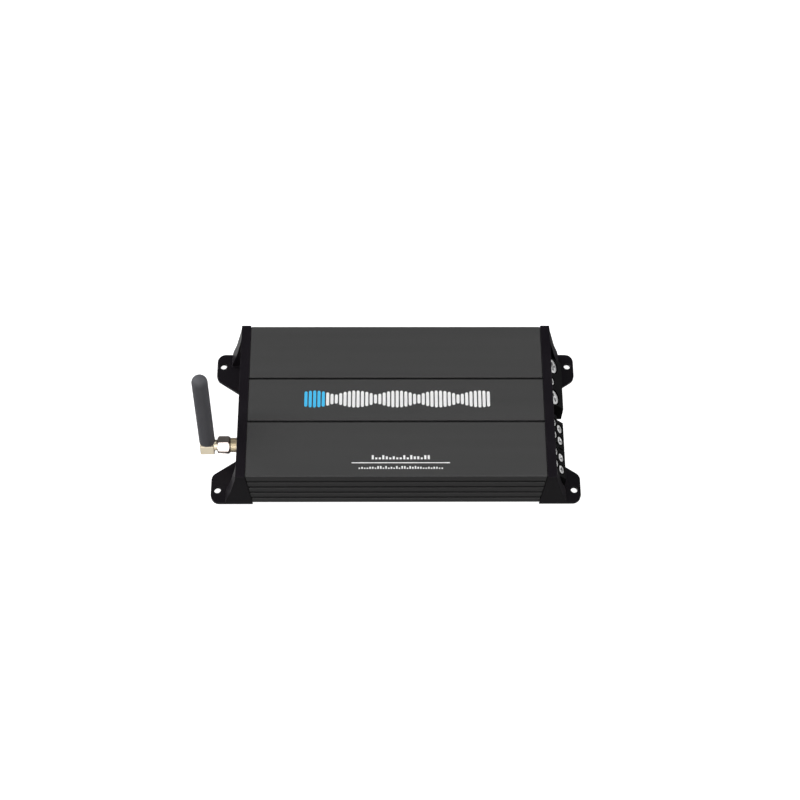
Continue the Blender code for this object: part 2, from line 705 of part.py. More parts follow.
def make_speaker_block(place, spread, first):
    """A two-deck block for two channels, with a pair of terminals on each deck."""
    lower = ((SPEAKER_NOSE_X, SPEAKER_NOSE_TOP), SPEAKER_STEP)
    upper = ((SPEAKER_STEP[0], SPEAKER_DECK), SPEAKER_BACK)
    profile = [
        (BLOCK_REAR_X, ABOVE_BOARD),
        (PANEL_OUTER_X + GAP, ABOVE_BOARD),
        (PANEL_OUTER_X + GAP, BLOCK_BASE),
        (SPEAKER_NOSE_X, BLOCK_BASE),
        *lower,
        *upper,
        (BLOCK_REAR_X, SPEAKER_BACK[1]),
    ]
    block = prism(f"speaker_block_{place}", [profile], "Y", *spread)
    number = first
    upper_wire_z = (SPEAKER_STEP[1] + SPEAKER_DECK) / 2 - 0.0003
    decks = ((lower, WIRE_Z, SMALL_WIRE_WIDTH), (upper, upper_wire_z, UPPER_WIRE_HEIGHT))
    for deck, wire_z, wire_height in decks:
        normal = slope_normal(*deck)
        height = (deck[0][1] + deck[1][1]) / 2
        for y in (spread[0] + SPEAKER_SCREW_INSET, spread[1] - SPEAKER_SCREW_INSET):
            name = f"speaker_screw_{number}"
            seat = Vector((slope_point(*deck, height), y, height))
            cut(block, screw_well(name + "_well", seat, normal, SMALL_SCREW, SMALL_SIDES))
            cut(block, small_wire_hole(name + "_wire", deck[0][0], y, wire_z, wire_height))
            terminal_screw(name, seat, normal, SMALL_SCREW, SMALL_SIDES)
            number += 1
    return as_part(block, BLACK_PLASTIC)


def make_fuse():
    low = (FUSE_X[0], -FUSE_HALF_THICKNESS, FUSE_Z[0])
    high = (FUSE_X[1], FUSE_HALF_THICKNESS, FUSE_Z[1])
    seat = (FUSE_X[0], 0, (FUSE_Z[0] + FUSE_Z[1]) / 2)
    fuse = bevelled(box("fuse", low, high, seat), FUSE_EDGE)
    low = (HOLDER_X[0], -HOLDER_HALF_WIDTH, ABOVE_BOARD)
    holder = box("fuse_holder", low, (HOLDER_X[1], HOLDER_HALF_WIDTH, HOLDER_TOP))
    ends = (FUSE_Z[0] + FUSE_BLADE_INSET, FUSE_Z[1] - FUSE_BLADE_INSET - FUSE_BLADE_WIDTH)
    clear = Vector((GAP, GAP, GAP))
    for i, z in enumerate(ends):
        low = Vector((FUSE_BLADE_X, -FUSE_BLADE_HALF_THICKNESS, z))
        high = Vector((FUSE_X[0] + OVERRUN, FUSE_BLADE_HALF_THICKNESS, z + FUSE_BLADE_WIDTH))
        join(fuse, box(f"fuse_blade_{i}", low, high))
        cut(holder, box(f"holder_slot_{i}", low - clear, high + clear))
    as_part(holder, BLACK_PLASTIC)
    as_part(fuse, AMBER)


# Antenna


def make_connector():
    """The threaded socket that the antenna screws onto, turned round the X axis."""
    axis = (-1, 0, 0)
    origin = Vector((CONNECTOR_REAR_X, ANTENNA_Y, ANTENNA_Z))
    flange = CONNECTOR_REAR_X - CONNECTOR_FLANGE_X
    body = CONNECTOR_REAR_X - CONNECTOR_BODY_X
    tip = CONNECTOR_REAR_X - CONNECTOR_TIP_X
    thread = CONNECTOR_THREAD_RADIUS
    flange_radius, flange_thickness = CONNECTOR_FLANGE
    socket_radius, socket_depth = CONNECTOR_SOCKET
    lead_in = 0.0004
    profile = [
        (0, tip - socket_depth),
        (socket_radius, tip - socket_depth),
        (socket_radius, tip),
        (thread - lead_in, tip),
        (thread, tip - lead_in),
        (thread, body),
        (CONNECTOR_BODY_RADIUS, body),
        (CONNECTOR_BODY_RADIUS, flange + flange_thickness),
        (flange_radius, flange + flange_thickness),
        (flange_radius, flange),
        (thread, flange),
        (thread, 0),
        (0, 0),
    ]
    as_part(turned("antenna_connector", profile, origin, axis), GOLD)


def make_nut():
    """A hexagonal coupling nut, chamfered at both ends and bored through."""
    across_corners = NUT_FLATS / math.sqrt(3)
    turn = Matrix.Rotation(NUT_TURN, 2)
    outline = [tuple(turn @ Vector(point)) for point in circle((0, 0), across_corners, 6)]
    centre = ((NUT_X[0] + NUT_X[1]) / 2, ANTENNA_Y, ANTENNA_Z)
    half = (NUT_X[1] - NUT_X[0]) / 2
    nut = prism("antenna_nut", [outline], "X", -half, half)
    nut.location = centre
    corner = half - NUT_CHAMFER
    chamfered = [
        (0, half),
        (NUT_FLATS / 2, half),
        (across_corners, corner),
        (across_corners, -corner),
        (NUT_FLATS / 2, -half),
        (0, -half),
    ]
    blank = turned("nut_blank", chamfered, centre, (-1, 0, 0), LARGE_SIDES)
    combine(nut, blank, "INTERSECT")
    start = (NUT_X[0] - OVERRUN, ANTENNA_Y, ANTENNA_Z)
    end = (NUT_X[1] + OVERRUN, ANTENNA_Y, ANTENNA_Z)
    cut(nut, rod("nut_bore", start, end, CONNECTOR_THREAD_RADIUS + GAP))
    as_part(nut, NICKEL)


def make_antenna():
    """The elbow and the rubber sleeve, both leaning back with the connector's axis as their origin."""
    place = Matrix.Translation((ELBOW_X, ANTENNA_Y, ANTENNA_Z)) @ Matrix.Rotation(-ANTENNA_LEAN, 4, "X")
    stub, stub_length = STUB
    stub_top = SLEEVE_START + stub_length
    dome = arc((0, SLEEVE_DOME), SLEEVE_RADIUS, 90, 0, 8)
    sleeve_profile = [(0, dome[0][1])] + dome[1:] + [
        (SLEEVE_RADIUS, SLEEVE_START + SLEEVE_EDGE),
        (SLEEVE_RADIUS - SLEEVE_EDGE, SLEEVE_START),
        (stub + GAP, SLEEVE_START),
        (stub + GAP, stub_top + GAP),
        (0, stub_top + GAP),
    ]
    half = ELBOW_SIDE / 2
    elbow = box("antenna_elbow", (-half, -half, -ELBOW_DROP), (half, half, SLEEVE_START - GAP))
    bevelled(elbow, ELBOW_EDGE)
    sleeve = turned("antenna_sleeve", sleeve_profile, (0, 0, 0), steps=LARGE_SIDES)
    for obj in (elbow, sleeve):
        obj.matrix_world = place
    join(elbow, rod("elbow_stub", place @ Vector((0, 0, 0)), place @ Vector((0, 0, stub_top)), stub))
    for i, (start, end, radius) in enumerate(NECK_STEPS):
        start = (start, ANTENNA_Y, ANTENNA_Z)
        join(elbow, rod(f"elbow_neck_{i}", start, (end, ANTENNA_Y, ANTENNA_Z), radius))
    as_part(elbow, PALE_GOLD)
    as_part(sleeve, RUBBER)


# Controls and sockets


def make_knobs():
    axis = (-1, 0, 0)
    rear = CONTROL_BOARD_X[0] - GAP
    shaft = rear + PANEL_OUTER_X + GAP
    tip = rear - KNOB_TIP_X
    profile = [
        (0, tip),
        (KNOB_RADIUS - KNOB_EDGE, tip),
        (KNOB_RADIUS, tip - KNOB_EDGE),
        (KNOB_RADIUS, shaft),
        (KNOB_SHAFT_RADIUS, shaft),
        (KNOB_SHAFT_RADIUS, 0),
        (0, 0),
    ]
    half_width, depth = KNOB_SLOT
    half_length = KNOB_RADIUS * 0.7
    for name, (y, z) in KNOBS.items():
        knob = turned(name, profile, (rear, y, z), axis)
        low = (KNOB_TIP_X - OVERRUN, y - half_width, z - half_length)
        cut(knob, box(name + "_slot", low, (KNOB_TIP_X + depth, y + half_width, z + half_length)))
        as_part(knob, BLACK_PLASTIC)


def make_switches():
    rear = CONTROL_BOARD_X[0] - GAP
    for name, (y, z) in SWITCHES.items():
        low = (SWITCH_TIP_X, y - SWITCH_LENGTH / 2, z - SWITCH_HEIGHT / 2)
        high = (rear, y + SWITCH_LENGTH / 2, z + SWITCH_HEIGHT / 2)
        as_part(bevelled(box(name, low, high, (rear, y, z)), SWITCH_EDGE), BLACK_PLASTIC)


def make_light():
    rear = CONTROL_BOARD_X[0] - GAP
    tip = rear + PANEL_OUTER_X + LED_REACH
    profile = [(0, tip)] + arc((0, tip - LED_RADIUS), LED_RADIUS, 60, 0, 3) + [(LED_RADIUS, 0), (0, 0)]
    as_part(turned("power_led", profile, (rear, *LED), (-1, 0, 0), HOLE_SIDES), BLUE_LENS)


def make_sockets():
    """A moulded block with a core for each phono socket, and the metal shells round the cores."""
    margin = SOCKET_BLOCK_MARGIN
    low = (SOCKET_BLOCK_X[0], SOCKETS_Y[0] - margin, ABOVE_BOARD)
    high = (SOCKET_BLOCK_X[1], SOCKETS_Y[1] + margin, SOCKETS_Z[1] + margin)
    block = box("phono_block", low, high)
    core = SOCKET_BORE - GAP
    face = -PANEL_OUTER_X - GAP
    length = face - SOCKET_TIP_X
    flange_radius, flange = SOCKET_FLANGE
    shell_profile = [
        (SOCKET_BORE, length),
        (SOCKET_RADIUS, length),
        (SOCKET_RADIUS, flange),
        (flange_radius, flange),
        (flange_radius, 0),
        (SOCKET_BORE, 0),
        (SOCKET_BORE, length),
    ]
    number = 1
    for y in SOCKETS_Y:
        for z in SOCKETS_Z:
            start = (SOCKET_BLOCK_X[0] + OVERRUN, y, z)
            join(block, rod(f"core_{number}", start, (SOCKET_CORE_TIP_X, y, z), core))
            start = (SOCKET_CORE_TIP_X - OVERRUN, y, z)
            end = (-PANEL_OUTER_X, y, z)
            cut(block, rod(f"pin_hole_{number}", start, end, SOCKET_PIN_RADIUS, HOLE_SIDES))
            shell = turned(f"phono_shell_{number}", shell_profile, (face, y, z), (-1, 0, 0), SHELL_SIDES)
            as_part(shell, GOLD)
            number += 1
    as_part(block, BLACK_PLASTIC)


# Electronics


def make_boards():
    low = (MAIN_BOARD_X[0], -BOARD_HALF_DEPTH, BOARD_BOTTOM)
    high = (MAIN_BOARD_X[1], BOARD_HALF_DEPTH, BOARD_TOP)
    as_part(box("main_board", low, high), GREEN_BOARD)
    low = (CONTROL_BOARD_X[0], CONTROL_BOARD_Y[0], BOARD_BOTTOM)
    high = (CONTROL_BOARD_X[1], CONTROL_BOARD_Y[1], CONTROL_BOARD_TOP)
    as_part(box("control_board", low, high), GREEN_BOARD)
    low = (WIRELESS_BOARD_X[0], WIRELESS_BOARD_Y[0], ABOVE_BOARD)
    high = (WIRELESS_BOARD_X[1], WIRELESS_BOARD_Y[1], WIRELESS_BOARD_TOP)
    as_part(box("wireless_board", low, high), BLUE_BOARD)


def make_transistors():
    """Four output devices held against the rear wall by a clamp bar, each with its legs in the board."""
    length, thickness, height = TRANSISTOR_BODY
    wall = SINK_HALF_DEPTH - SINK_SIDE_WALL - GAP
    for i, x in enumerate(TRANSISTORS_X):
        low = (x - length / 2, wall - thickness, TRANSISTOR_Z)
        body = box(f"transistor_{i + 1}", low, (x + length / 2, wall, TRANSISTOR_Z + height))
        reach = length / 2 - LEGS_INSET
        low = (x - reach, wall - LEGS_BACK[0], ABOVE_BOARD)
        legs = box(f"transistor_{i + 1}_legs", low, (x + reach, wall - LEGS_BACK[1], TRANSISTOR_Z + OVERRUN))
        join(body, legs)
        as_part(body, BLACK_PLASTIC)
    face = wall - thickness - GAP
    middle = TRANSISTOR_Z + height / 2
    end = TRANSISTORS_X[-1] + length
    low = (-end, face - CLAMP_THICKNESS, middle - CLAMP_HALF_HEIGHT)
    as_part(box("clamp_bar", low, (end, face, middle + CLAMP_HALF_HEIGHT)), BARE_ALUMINIUM)


def make_capacitors():
    profile = [
        (0, CAPACITOR_TOP),
        (CAPACITOR_RADIUS - CAPACITOR_EDGE, CAPACITOR_TOP),
        (CAPACITOR_RADIUS, CAPACITOR_TOP - CAPACITOR_EDGE),
        (CAPACITOR_RADIUS, ABOVE_BOARD),
        (0, ABOVE_BOARD),
    ]
    for i, x in enumerate(CAPACITORS_X):
        can = turned(f"capacitor_{i + 1}", profile, (x, CAPACITOR_Y, 0), steps=SHELL_SIDES)
        as_part(can, SLEEVED_CAN)


def make_toroid():
    bpy.ops.mesh.primitive_torus_add(
        location=(*TOROID_PLACE, ABOVE_BOARD + TOROID_THICKNESS),
        major_radius=TOROID_RADIUS,
        minor_radius=TOROID_THICKNESS,
        major_segments=20,
        minor_segments=8,
    )
    toroid = bpy.context.object
    toroid.name = "toroid_transformer"
    for collection in toroid.users_collection:
        collection.objects.unlink(toroid)
    as_part(toroid, ENAMELLED_WIRE)


def make_inductor():
    """A bobbin: a round core between two wider ends."""
    flange = INDUCTOR_FLANGE
    profile = [
        (0, INDUCTOR_TOP),
        (INDUCTOR_RADIUS, INDUCTOR_TOP),
        (INDUCTOR_RADIUS, INDUCTOR_TOP - flange),
        (INDUCTOR_CORE_RADIUS, INDUCTOR_TOP - flange),
        (INDUCTOR_CORE_RADIUS, ABOVE_BOARD + flange),
        (INDUCTOR_RADIUS, ABOVE_BOARD + flange),
        (INDUCTOR_RADIUS, ABOVE_BOARD),
        (0, ABOVE_BOARD),
    ]
    as_part(turned("inductor", profile, (*INDUCTOR_PLACE, 0), steps=SHELL_SIDES), FERRITE)


clear_scene()
bpy.context.scene.unit_settings.system = "METRIC"
PARTS = new_collection("car_amplifier")
TOOLS = new_collection("cutters")
TOOLS.hide_render = True

make_heatsink()
make_bottom_plate()
make_base_screws()
make_end_frame("left_end_frame", -1)
make_end_frame("right_end_frame", 1)
make_panels()
make_power_block()
make_speaker_block("front", SPEAKER_BLOCKS_Y["front"], 1)
make_speaker_block("rear", SPEAKER_BLOCKS_Y["rear"], 5)
make_fuse()
make_connector()
make_nut()
make_antenna()
make_knobs()
make_switches()
make_light()
make_sockets()
make_boards()
make_transistors()
make_capacitors()
make_toroid()
make_inductor()
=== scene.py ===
"""The looks of a compact car amplifier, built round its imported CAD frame.

Metres, in the frame's own axes: +X is the terminal end, -Y the front, +Z up."""

import json
import math
import random
from typing import NamedTuple

import bmesh
import bpy
from mathutils import Matrix, Vector

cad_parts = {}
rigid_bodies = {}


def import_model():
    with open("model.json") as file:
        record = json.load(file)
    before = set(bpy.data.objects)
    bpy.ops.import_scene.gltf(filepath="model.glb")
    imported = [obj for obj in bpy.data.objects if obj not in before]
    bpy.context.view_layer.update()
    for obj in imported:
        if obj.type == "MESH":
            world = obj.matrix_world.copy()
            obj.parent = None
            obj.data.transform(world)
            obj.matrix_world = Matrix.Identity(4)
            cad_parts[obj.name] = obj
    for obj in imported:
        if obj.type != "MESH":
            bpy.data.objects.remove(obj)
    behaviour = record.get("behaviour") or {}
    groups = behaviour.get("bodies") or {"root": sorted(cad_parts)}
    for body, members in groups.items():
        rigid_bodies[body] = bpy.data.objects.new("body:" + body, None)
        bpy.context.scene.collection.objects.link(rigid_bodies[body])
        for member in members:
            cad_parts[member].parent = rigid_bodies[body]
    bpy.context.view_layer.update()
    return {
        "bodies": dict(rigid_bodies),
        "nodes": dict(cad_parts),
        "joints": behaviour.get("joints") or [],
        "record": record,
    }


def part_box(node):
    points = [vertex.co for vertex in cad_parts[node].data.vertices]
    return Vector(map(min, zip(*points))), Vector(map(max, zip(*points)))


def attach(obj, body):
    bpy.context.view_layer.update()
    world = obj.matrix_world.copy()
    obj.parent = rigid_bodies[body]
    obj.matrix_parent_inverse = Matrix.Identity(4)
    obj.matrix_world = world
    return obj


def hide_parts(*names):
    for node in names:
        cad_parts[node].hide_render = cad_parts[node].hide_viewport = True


RIGHT_ANGLE = math.pi / 2
OVERRUN = 0.002  # how far a cutter passes the face it cuts
GAP = 0.0003

# Heat sink
FIN_EDGE = 0.0004
SHOULDER = 0.0007
SKIRT = 0.0022
END_HALF_DEPTH = 0.0501
END_TOP = 0.041
TOP_GROOVES_Y = 0.0146
TOP_GROOVE_WIDTH = 0.0014
TOP_GROOVE_DEPTH = 0.0018
SIDE_GROOVES_Z = (0.0336, 0.0255, 0.0174, 0.0093)
SIDE_GROOVE_WIDTH = 0.0028
SIDE_GROOVE_DEPTH = 0.0022
WALL = 0.004
CEILING = 0.0049
BOSS_DEPTH = 0.004
BOSS_TOP = 0.0083

# End frames
RIM_INNER_TOP = 0.0905
RIM_INNER_BASE = 0.0889
RIM_OUTER = 0.0962
FLARE = ((0.0973, 0.0354), (0.1, 0.0237), (0.1019, 0.0158), (0.1045, 0.0075), (0.1055, 0.003))
POST_INNER = 0.0431
WINDOW_TOP = 0.035
FOOT = 0.003
SILL = 0.097
EAR_CORNER = 0.0052
EAR_BEND_Y = 0.0365
EAR_TAPER = (0.1008, 0.0242)
EAR_NECK_Y = 0.0213
EAR_HOLE = (0.111, 0.0432)
EAR_HOLE_RADIUS = 0.00215
FRAME_EDGE = 0.0005

# Terminal blocks
ABOVE_BOARD = 0.0102
BLOCK_FRONT = 0.0888
BLOCK_BASE = 0.0035
POWER_NOSE = (0.1052, 0.018)
POWER_BACK = (0.0953, 0.0296)
SPEAKER_NOSE = (0.1044, 0.018)
SPEAKER_STEP = (0.0994, 0.0239)
SPEAKER_DECK = (0.0994, 0.0288)
SPEAKER_BACK = (0.0952, 0.0338)
WIRE_Z = 0.0098
POWER_WIRE_RADIUS = 0.0042
SMALL_WIRE_WIDTH = 0.0048
UPPER_WIRE_HEIGHT = 0.0034
POWER_SCREW = (0.00485, 0.0034, 0.0025, 0.0095)  # head radius, head height, shank radius, length
SMALL_SCREW = (0.0027, 0.0018, 0.0015, 0.0062)
SCREW_SINK = 0.0003
SCREW_THREAD = 0.0003  # depth, and half of its pitch
POWER_WIRE_DEPTH = 0.011
SMALL_WIRE_DEPTH = 0.0065
CROSS_LENGTH = 0.62  # of the head's radius
CROSS_WIDTH = 0.17

# Fuse
FUSE_BODY = 0.008  # from the tips of the blades to the body
FUSE_RIM = 0.0009
FUSE_WAIST = (0.3, 0.42)  # of half the body's height
BLADE_INSET = 0.0016
BLADE_WIDTH = 0.005
BLADE_HALF_THICKNESS = 0.0004
BLADE_TIP = 0.0012

# Antenna
CONNECTOR_BODY_X = -0.1016
CONNECTOR_RADIUS = 0.0045
CONNECTOR_THREAD_RADIUS = 0.0031
CONNECTOR_SOCKET = (0.0021, 0.002)  # radius, depth
FLANGE = (0.0056, 0.0014)  # radius, thickness
CHAMFER = 0.0002
SLEEVE_START = 0.0033
SLEEVE_RADIUS = 0.0048
ELBOW_SIDE = 0.0086
ELBOW_DROP = 0.0041
STUB = (0.003, 0.006)  # radius, length inside the sleeve
NECK_STEP_X = -0.1097
NECK_LAP = 0.0008
NECK_RADII = (0.0031, 0.0033)
NUT_BORE = (0.0034, 0.01)  # radius, and half the length of its cutter
NUT_CHAMFER = 0.0009
NUT_FLATS = 0.0098
NUT_TURN = math.radians(-21)
THREAD_PITCH = 0.0007
THREAD_DEPTH = 0.00025

# Left end
KNOB_RIDGES = 24
KNOB_VALLEY = 0.95  # of the radius
KNOB_SHAFT = 0.0015
KNOB_SLOT = (0.72, 0.00045, 0.0014)  # half length as a share of the radius, half width, depth
SWITCH_RIBS = 3
RIB_HALF_WIDTH = 0.00018
RIB_DEPTH = 0.0004
SWITCH_TRAVEL = 0.0025
SOCKET_BASE_X = -0.0867
SOCKET_LAP = 0.0004
SHELL_OUTER = 0.0042
SHELL_INNER = 0.0034
CORE_RADIUS = 0.0031
CORE_HOLE = 0.0012
SHAFT_HOLE = 0.0018
DIAL_RADIUS = 0.0041
DIAL_LINE = 0.00022
DIAL_SWEEP = (-50, 230)
DIAL_TICKS = 9
DIAL_TICK_ENDS = (0.0044, 0.0049, 0.0052)  # inner end, outer end, outer end of a long one

# Printed marks
INK = 0.00004
INK_LIFT = 0.000005  # clear of the face below it
MARK_LENGTH = 0.1143
MARK_HEIGHT = 0.0116
MARK_BARS = 43
BLUE_BARS = 5
BAR_WAVE = 9.5
BAR_SHARE = 0.7  # of the pitch
MARK_X = 0.0007
MARK_Y = 0.0005
RULE_Y = -0.0421
RULE_X = 0.0027
RULE_LENGTH = 0.059
RULE_HALF_WIDTH = 0.0003
TICK_ROWS = ((0.0036, 0.036, 0.0027, 0.0021), (-0.0031, 0.052, 0.0018, 0.0016))  # shift, length, height, step

# Studio
DOME_RADIUS = 4.0
FLOOR_Z = -0.0002
WORLD_STRENGTH = 0.1
SUNS = {  # direction, strength, width in degrees
    "left": ((-0.76, 0.3, 0.58), 2.4, 45),
    "right": ((0.76, 0.3, 0.58), 1.3, 45),
    "front": ((0, -0.79, 0.62), 0.3, 20),
    "front_fill": ((-0.35, -0.92, 0.12), 0.4, 60),
    "table_right": ((0.89, 0.44, -0.08), 0.4, 40),
}
CARDS = {  # the same, for white cards that show in glossy surfaces only
    "high_card": ((0, -0.68, 0.73), 2.0, 80),
    "low_card": ((0, -0.89, -0.45), 0.28, 34),
    "table_left": ((-0.38, 0.39, -0.84), 0.2, 44),
}

# Camera
CAMERA_PLACE = (-0.00608, -0.4123, 0.88032)
CAMERA_ELEVATION = math.radians(63.82)
CAMERA_YAW = math.radians(-1.18)
CAMERA_ROLL = math.radians(1.02)
CAMERA_LENS = 68.75


def grey(value):
    return (value, value, value)


class Finish(NamedTuple):
    """A surface: two linear colours that cloud into each other, its gloss, and its texture's scales."""

    first: tuple
    second: tuple
    roughness: float
    metallic: float = 0.0
    specular: float = 0.5
    stretch: tuple = (1, 1, 1)
    clouds: float = 300
    grain: float = 3000
    bump: float = 0.00001
    swing: float = 0.08  # of the roughness, to each side


LOOKS = {
    "anodised": Finish(
        grey(0.047), grey(0.054), 0.5, specular=0.3, stretch=(0.03, 1, 1), clouds=160, grain=5200, swing=0.06
    ),
    "black_gloss": Finish(
        (0.004, 0.0024, 0.005),
        (0.0062, 0.0044, 0.0075),
        0.36,
        specular=0.25,
        clouds=45,
        grain=2600,
        bump=0.000012,
    ),
    "black_moulded": Finish(
        (0.004, 0.004, 0.0044),
        (0.0066, 0.0066, 0.0072),
        0.6,
        specular=0.04,
        clouds=90,
        grain=3400,
        bump=0.00002,
        swing=0.1,
    ),
    "nickel": Finish((0.68, 0.6, 0.56), (0.76, 0.68, 0.64), 0.3, 1, grain=4200, bump=0.000004, swing=0.04),
    "screw_steel": Finish(grey(0.5), grey(0.56), 0.3, 1, grain=4200, bump=0.000004, swing=0.04),
    "zinc": Finish(
        grey(0.42), (0.55, 0.55, 0.53), 0.36, 1, clouds=500, grain=4200, bump=0.000006, swing=0.12
    ),
    "pale_gold": Finish(
        (0.96, 0.84, 0.62), (1, 0.89, 0.68), 0.34, 0.6, grain=4200, bump=0.000004, swing=0.05
    ),
    "gold": Finish(
        (0.78, 0.55, 0.22), (0.88, 0.68, 0.34), 0.22, 1, clouds=500, grain=4200, bump=0.000006, swing=0.1
    ),
    "rubber": Finish(
        (0.108, 0.108, 0.119),
        (0.12, 0.12, 0.131),
        0.55,
        specular=0.3,
        stretch=(1, 1, 0.12),
        clouds=240,
        grain=3800,
        bump=0.00002,
    ),
    "steel_plate": Finish(
        (0.014, 0.014, 0.015), (0.022, 0.022, 0.023), 0.45, 0.5, stretch=(0.05, 1, 1), clouds=120, swing=0.1
    ),
    "circuit_board": Finish(
        (0.008, 0.075, 0.022), (0.02, 0.14, 0.05), 0.34, clouds=420, grain=2400, bump=0.00002, swing=0.15
    ),
    "blue_board": Finish(
        (0.006, 0.02, 0.11), (0.012, 0.045, 0.2), 0.34, clouds=420, grain=2400, bump=0.00002, swing=0.15
    ),
    "amber": Finish((0.62, 0.2, 0.015), (0.8, 0.3, 0.03), 0.16, grain=2000, bump=0.000006, swing=0.06),
    "white_plastic": Finish((0.6, 0.6, 0.57), (0.7, 0.7, 0.67), 0.4),
    "red_plastic": Finish((0.42, 0.01, 0.01), (0.55, 0.02, 0.015), 0.4),
    "blue_lens": Finish((0.02, 0.1, 0.7), (0.04, 0.18, 0.85), 0.12, grain=2000, bump=0.000004, swing=0.05),
    "sleeved_can": Finish((0.01, 0.012, 0.035), (0.016, 0.02, 0.055), 0.3, stretch=(1, 1, 0.1), swing=0.1),
    "enamelled_wire": Finish(
        (0.3, 0.09, 0.02), (0.48, 0.17, 0.05), 0.3, 0.6, clouds=900, bump=0.00005, swing=0.12
    ),
    "ferrite": Finish(
        (0.02, 0.02, 0.022), (0.035, 0.035, 0.037), 0.6, clouds=500, grain=2600, bump=0.00004, swing=0.1
    ),
    "bare_aluminium": Finish(
        (0.5, 0.5, 0.51), (0.62, 0.62, 0.63), 0.35, 1, stretch=(0.06, 1, 1), swing=0.12
    ),
    "white_ink": Finish(grey(0.96), grey(1), 0.5, clouds=700, grain=5000, bump=0.000004),
    "blue_ink": Finish((0.052, 0.56, 1), (0.07, 0.61, 1), 0.5, clouds=700, grain=5000, bump=0.000004),
}


def noise(nodes, links, coords, scale, detail):
    texture = nodes.new("ShaderNodeTexNoise")
    texture.inputs["Scale"].default_value = scale
    texture.inputs["Detail"].default_value = detail
    links.new(coords, texture.inputs["Vector"])
    return texture.outputs["Fac"]


def make_material(name):
    """A Principled surface with clouded colour, uneven roughness and a fine bump."""
    finish = LOOKS[name]
    material = bpy.data.materials.new(name)
    material.use_nodes = True
    nodes = material.node_tree.nodes
    links = material.node_tree.links
    shader = nodes["Principled BSDF"]
    place = nodes.new("ShaderNodeTexCoord")
    mapping = nodes.new("ShaderNodeMapping")
    mapping.inputs["Scale"].default_value = finish.stretch
    links.new(place.outputs["Object"], mapping.inputs["Vector"])
    coords = mapping.outputs["Vector"]
    clouds = noise(nodes, links, coords, finish.clouds, 4)
    grain = noise(nodes, links, coords, finish.grain, 2)
    blend = nodes.new("ShaderNodeMix")
    blend.data_type = "RGBA"
    blend.inputs["A"].default_value = (*finish.first, 1)
    blend.inputs["B"].default_value = (*finish.second, 1)
    links.new(clouds, blend.inputs["Factor"])
    links.new(blend.outputs["Result"], shader.inputs["Base Color"])
    uneven = nodes.new("ShaderNodeMapRange")
    uneven.inputs["To Min"].default_value = finish.roughness - finish.swing
    uneven.inputs["To Max"].default_value = finish.roughness + finish.swing
    links.new(clouds, uneven.inputs["Value"])
    links.new(uneven.outputs["Result"], shader.inputs["Roughness"])
    bump = nodes.new("ShaderNodeBump")
    bump.inputs["Distance"].default_value = finish.bump
    bump.inputs["Strength"].default_value = 0.6
    links.new(grain, bump.inputs["Height"])
    links.new(bump.outputs["Normal"], shader.inputs["Normal"])
    shader.inputs["Metallic"].default_value = finish.metallic
    shader.inputs["Specular IOR Level"].default_value = finish.specular
    return material


MADE = {}


def look(name):
    if name not in MADE:
        MADE[name] = make_material(name)
    return MADE[name]


# Mesh tools


def as_object(name, mesh_bm, matrix=None):
    bmesh.ops.recalc_face_normals(mesh_bm, faces=mesh_bm.faces)
    mesh = bpy.data.meshes.new(name)
    mesh_bm.to_mesh(mesh)
    mesh_bm.free()
    if matrix is not None:
        mesh.transform(matrix)
    obj = bpy.data.objects.new(name, mesh)
    bpy.context.scene.collection.objects.link(obj)
    return obj


def arc(centre, radius, start, end, steps):
    """Points along an arc, from one angle to another in degrees."""
    angles = [math.radians(start + (end - start) * i / steps) for i in range(steps + 1)]
    return [(centre[0] + radius * math.cos(a), centre[1] + radius * math.sin(a)) for a in angles]


def circle(centre, radius, sides=48):
    return arc(centre, radius, 0, 360, sides)[:-1]


def rectangle(low, high):
    return [low, (high[0], low[1]), high, (low[0], high[1])]


OUTLINE_ORDER = {"X": (2, 0, 1), "Y": (0, 2, 1), "Z": (0, 1, 2)}


def prism(name, outline, axis, low, high):
    """An outline stretched along an axis: its points are (y, z) for X, (x, z) for Y and (x, y) for Z."""
    order = OUTLINE_ORDER[axis]
    mesh_bm = bmesh.new()
    rings = []
    for depth in (low, high):
        places = [(u, v, depth) for u, v in outline]
        rings.append([mesh_bm.verts.new([place[k] for k in order]) for place in places])
    count = len(outline)
    for i in range(count):
        j = (i + 1) % count
        mesh_bm.faces.new((rings[0][i], rings[0][j], rings[1][j], rings[1][i]))
    mesh_bm.faces.new(rings[0])
    mesh_bm.faces.new(rings[1])
    return as_object(name, mesh_bm)


def block(name, low, high):
    return prism(name, rectangle(low[:2], high[:2]), "Z", low[2], high[2])


def lathe(name, profile, matrix=None, steps=64, closed=False):
    """A profile of (radius, height) turned round Z; a radius of 0 is a point on the axis."""
    mesh_bm = bmesh.new()
    rings = []
    for radius, height in profile:
        if radius == 0:
            rings.append([mesh_bm.verts.new((0, 0, height))] * steps)
            continue
        places = circle((0, 0), radius, steps)
        rings.append([mesh_bm.verts.new((x, y, height)) for x, y in places])
    pairs = list(zip(rings, rings[1:]))
    if closed:
        pairs.append((rings[-1], rings[0]))
    for upper, lower in pairs:
        for i in range(steps):
            j = (i + 1) % steps
            corners = [upper[i], upper[j], lower[j], lower[i]]
            unique = [v for k, v in enumerate(corners) if v not in corners[:k]]
            if len(unique) > 2:
                mesh_bm.faces.new(unique)
    return as_object(name, mesh_bm, matrix)


def rod(name, radius, low, high, matrix, steps=48):
    return lathe(name, [(0, high), (radius, high), (radius, low), (0, low)], matrix, steps)


def pose(place, axis=(0, 0, 1), spin=0.0):
    """A matrix that stands a shape made round Z on an axis at a place."""
    turn = Vector(axis).to_track_quat("Z", "Y").to_matrix().to_4x4()
    return Matrix.Translation(place) @ turn @ Matrix.Rotation(spin, 4, "Z")


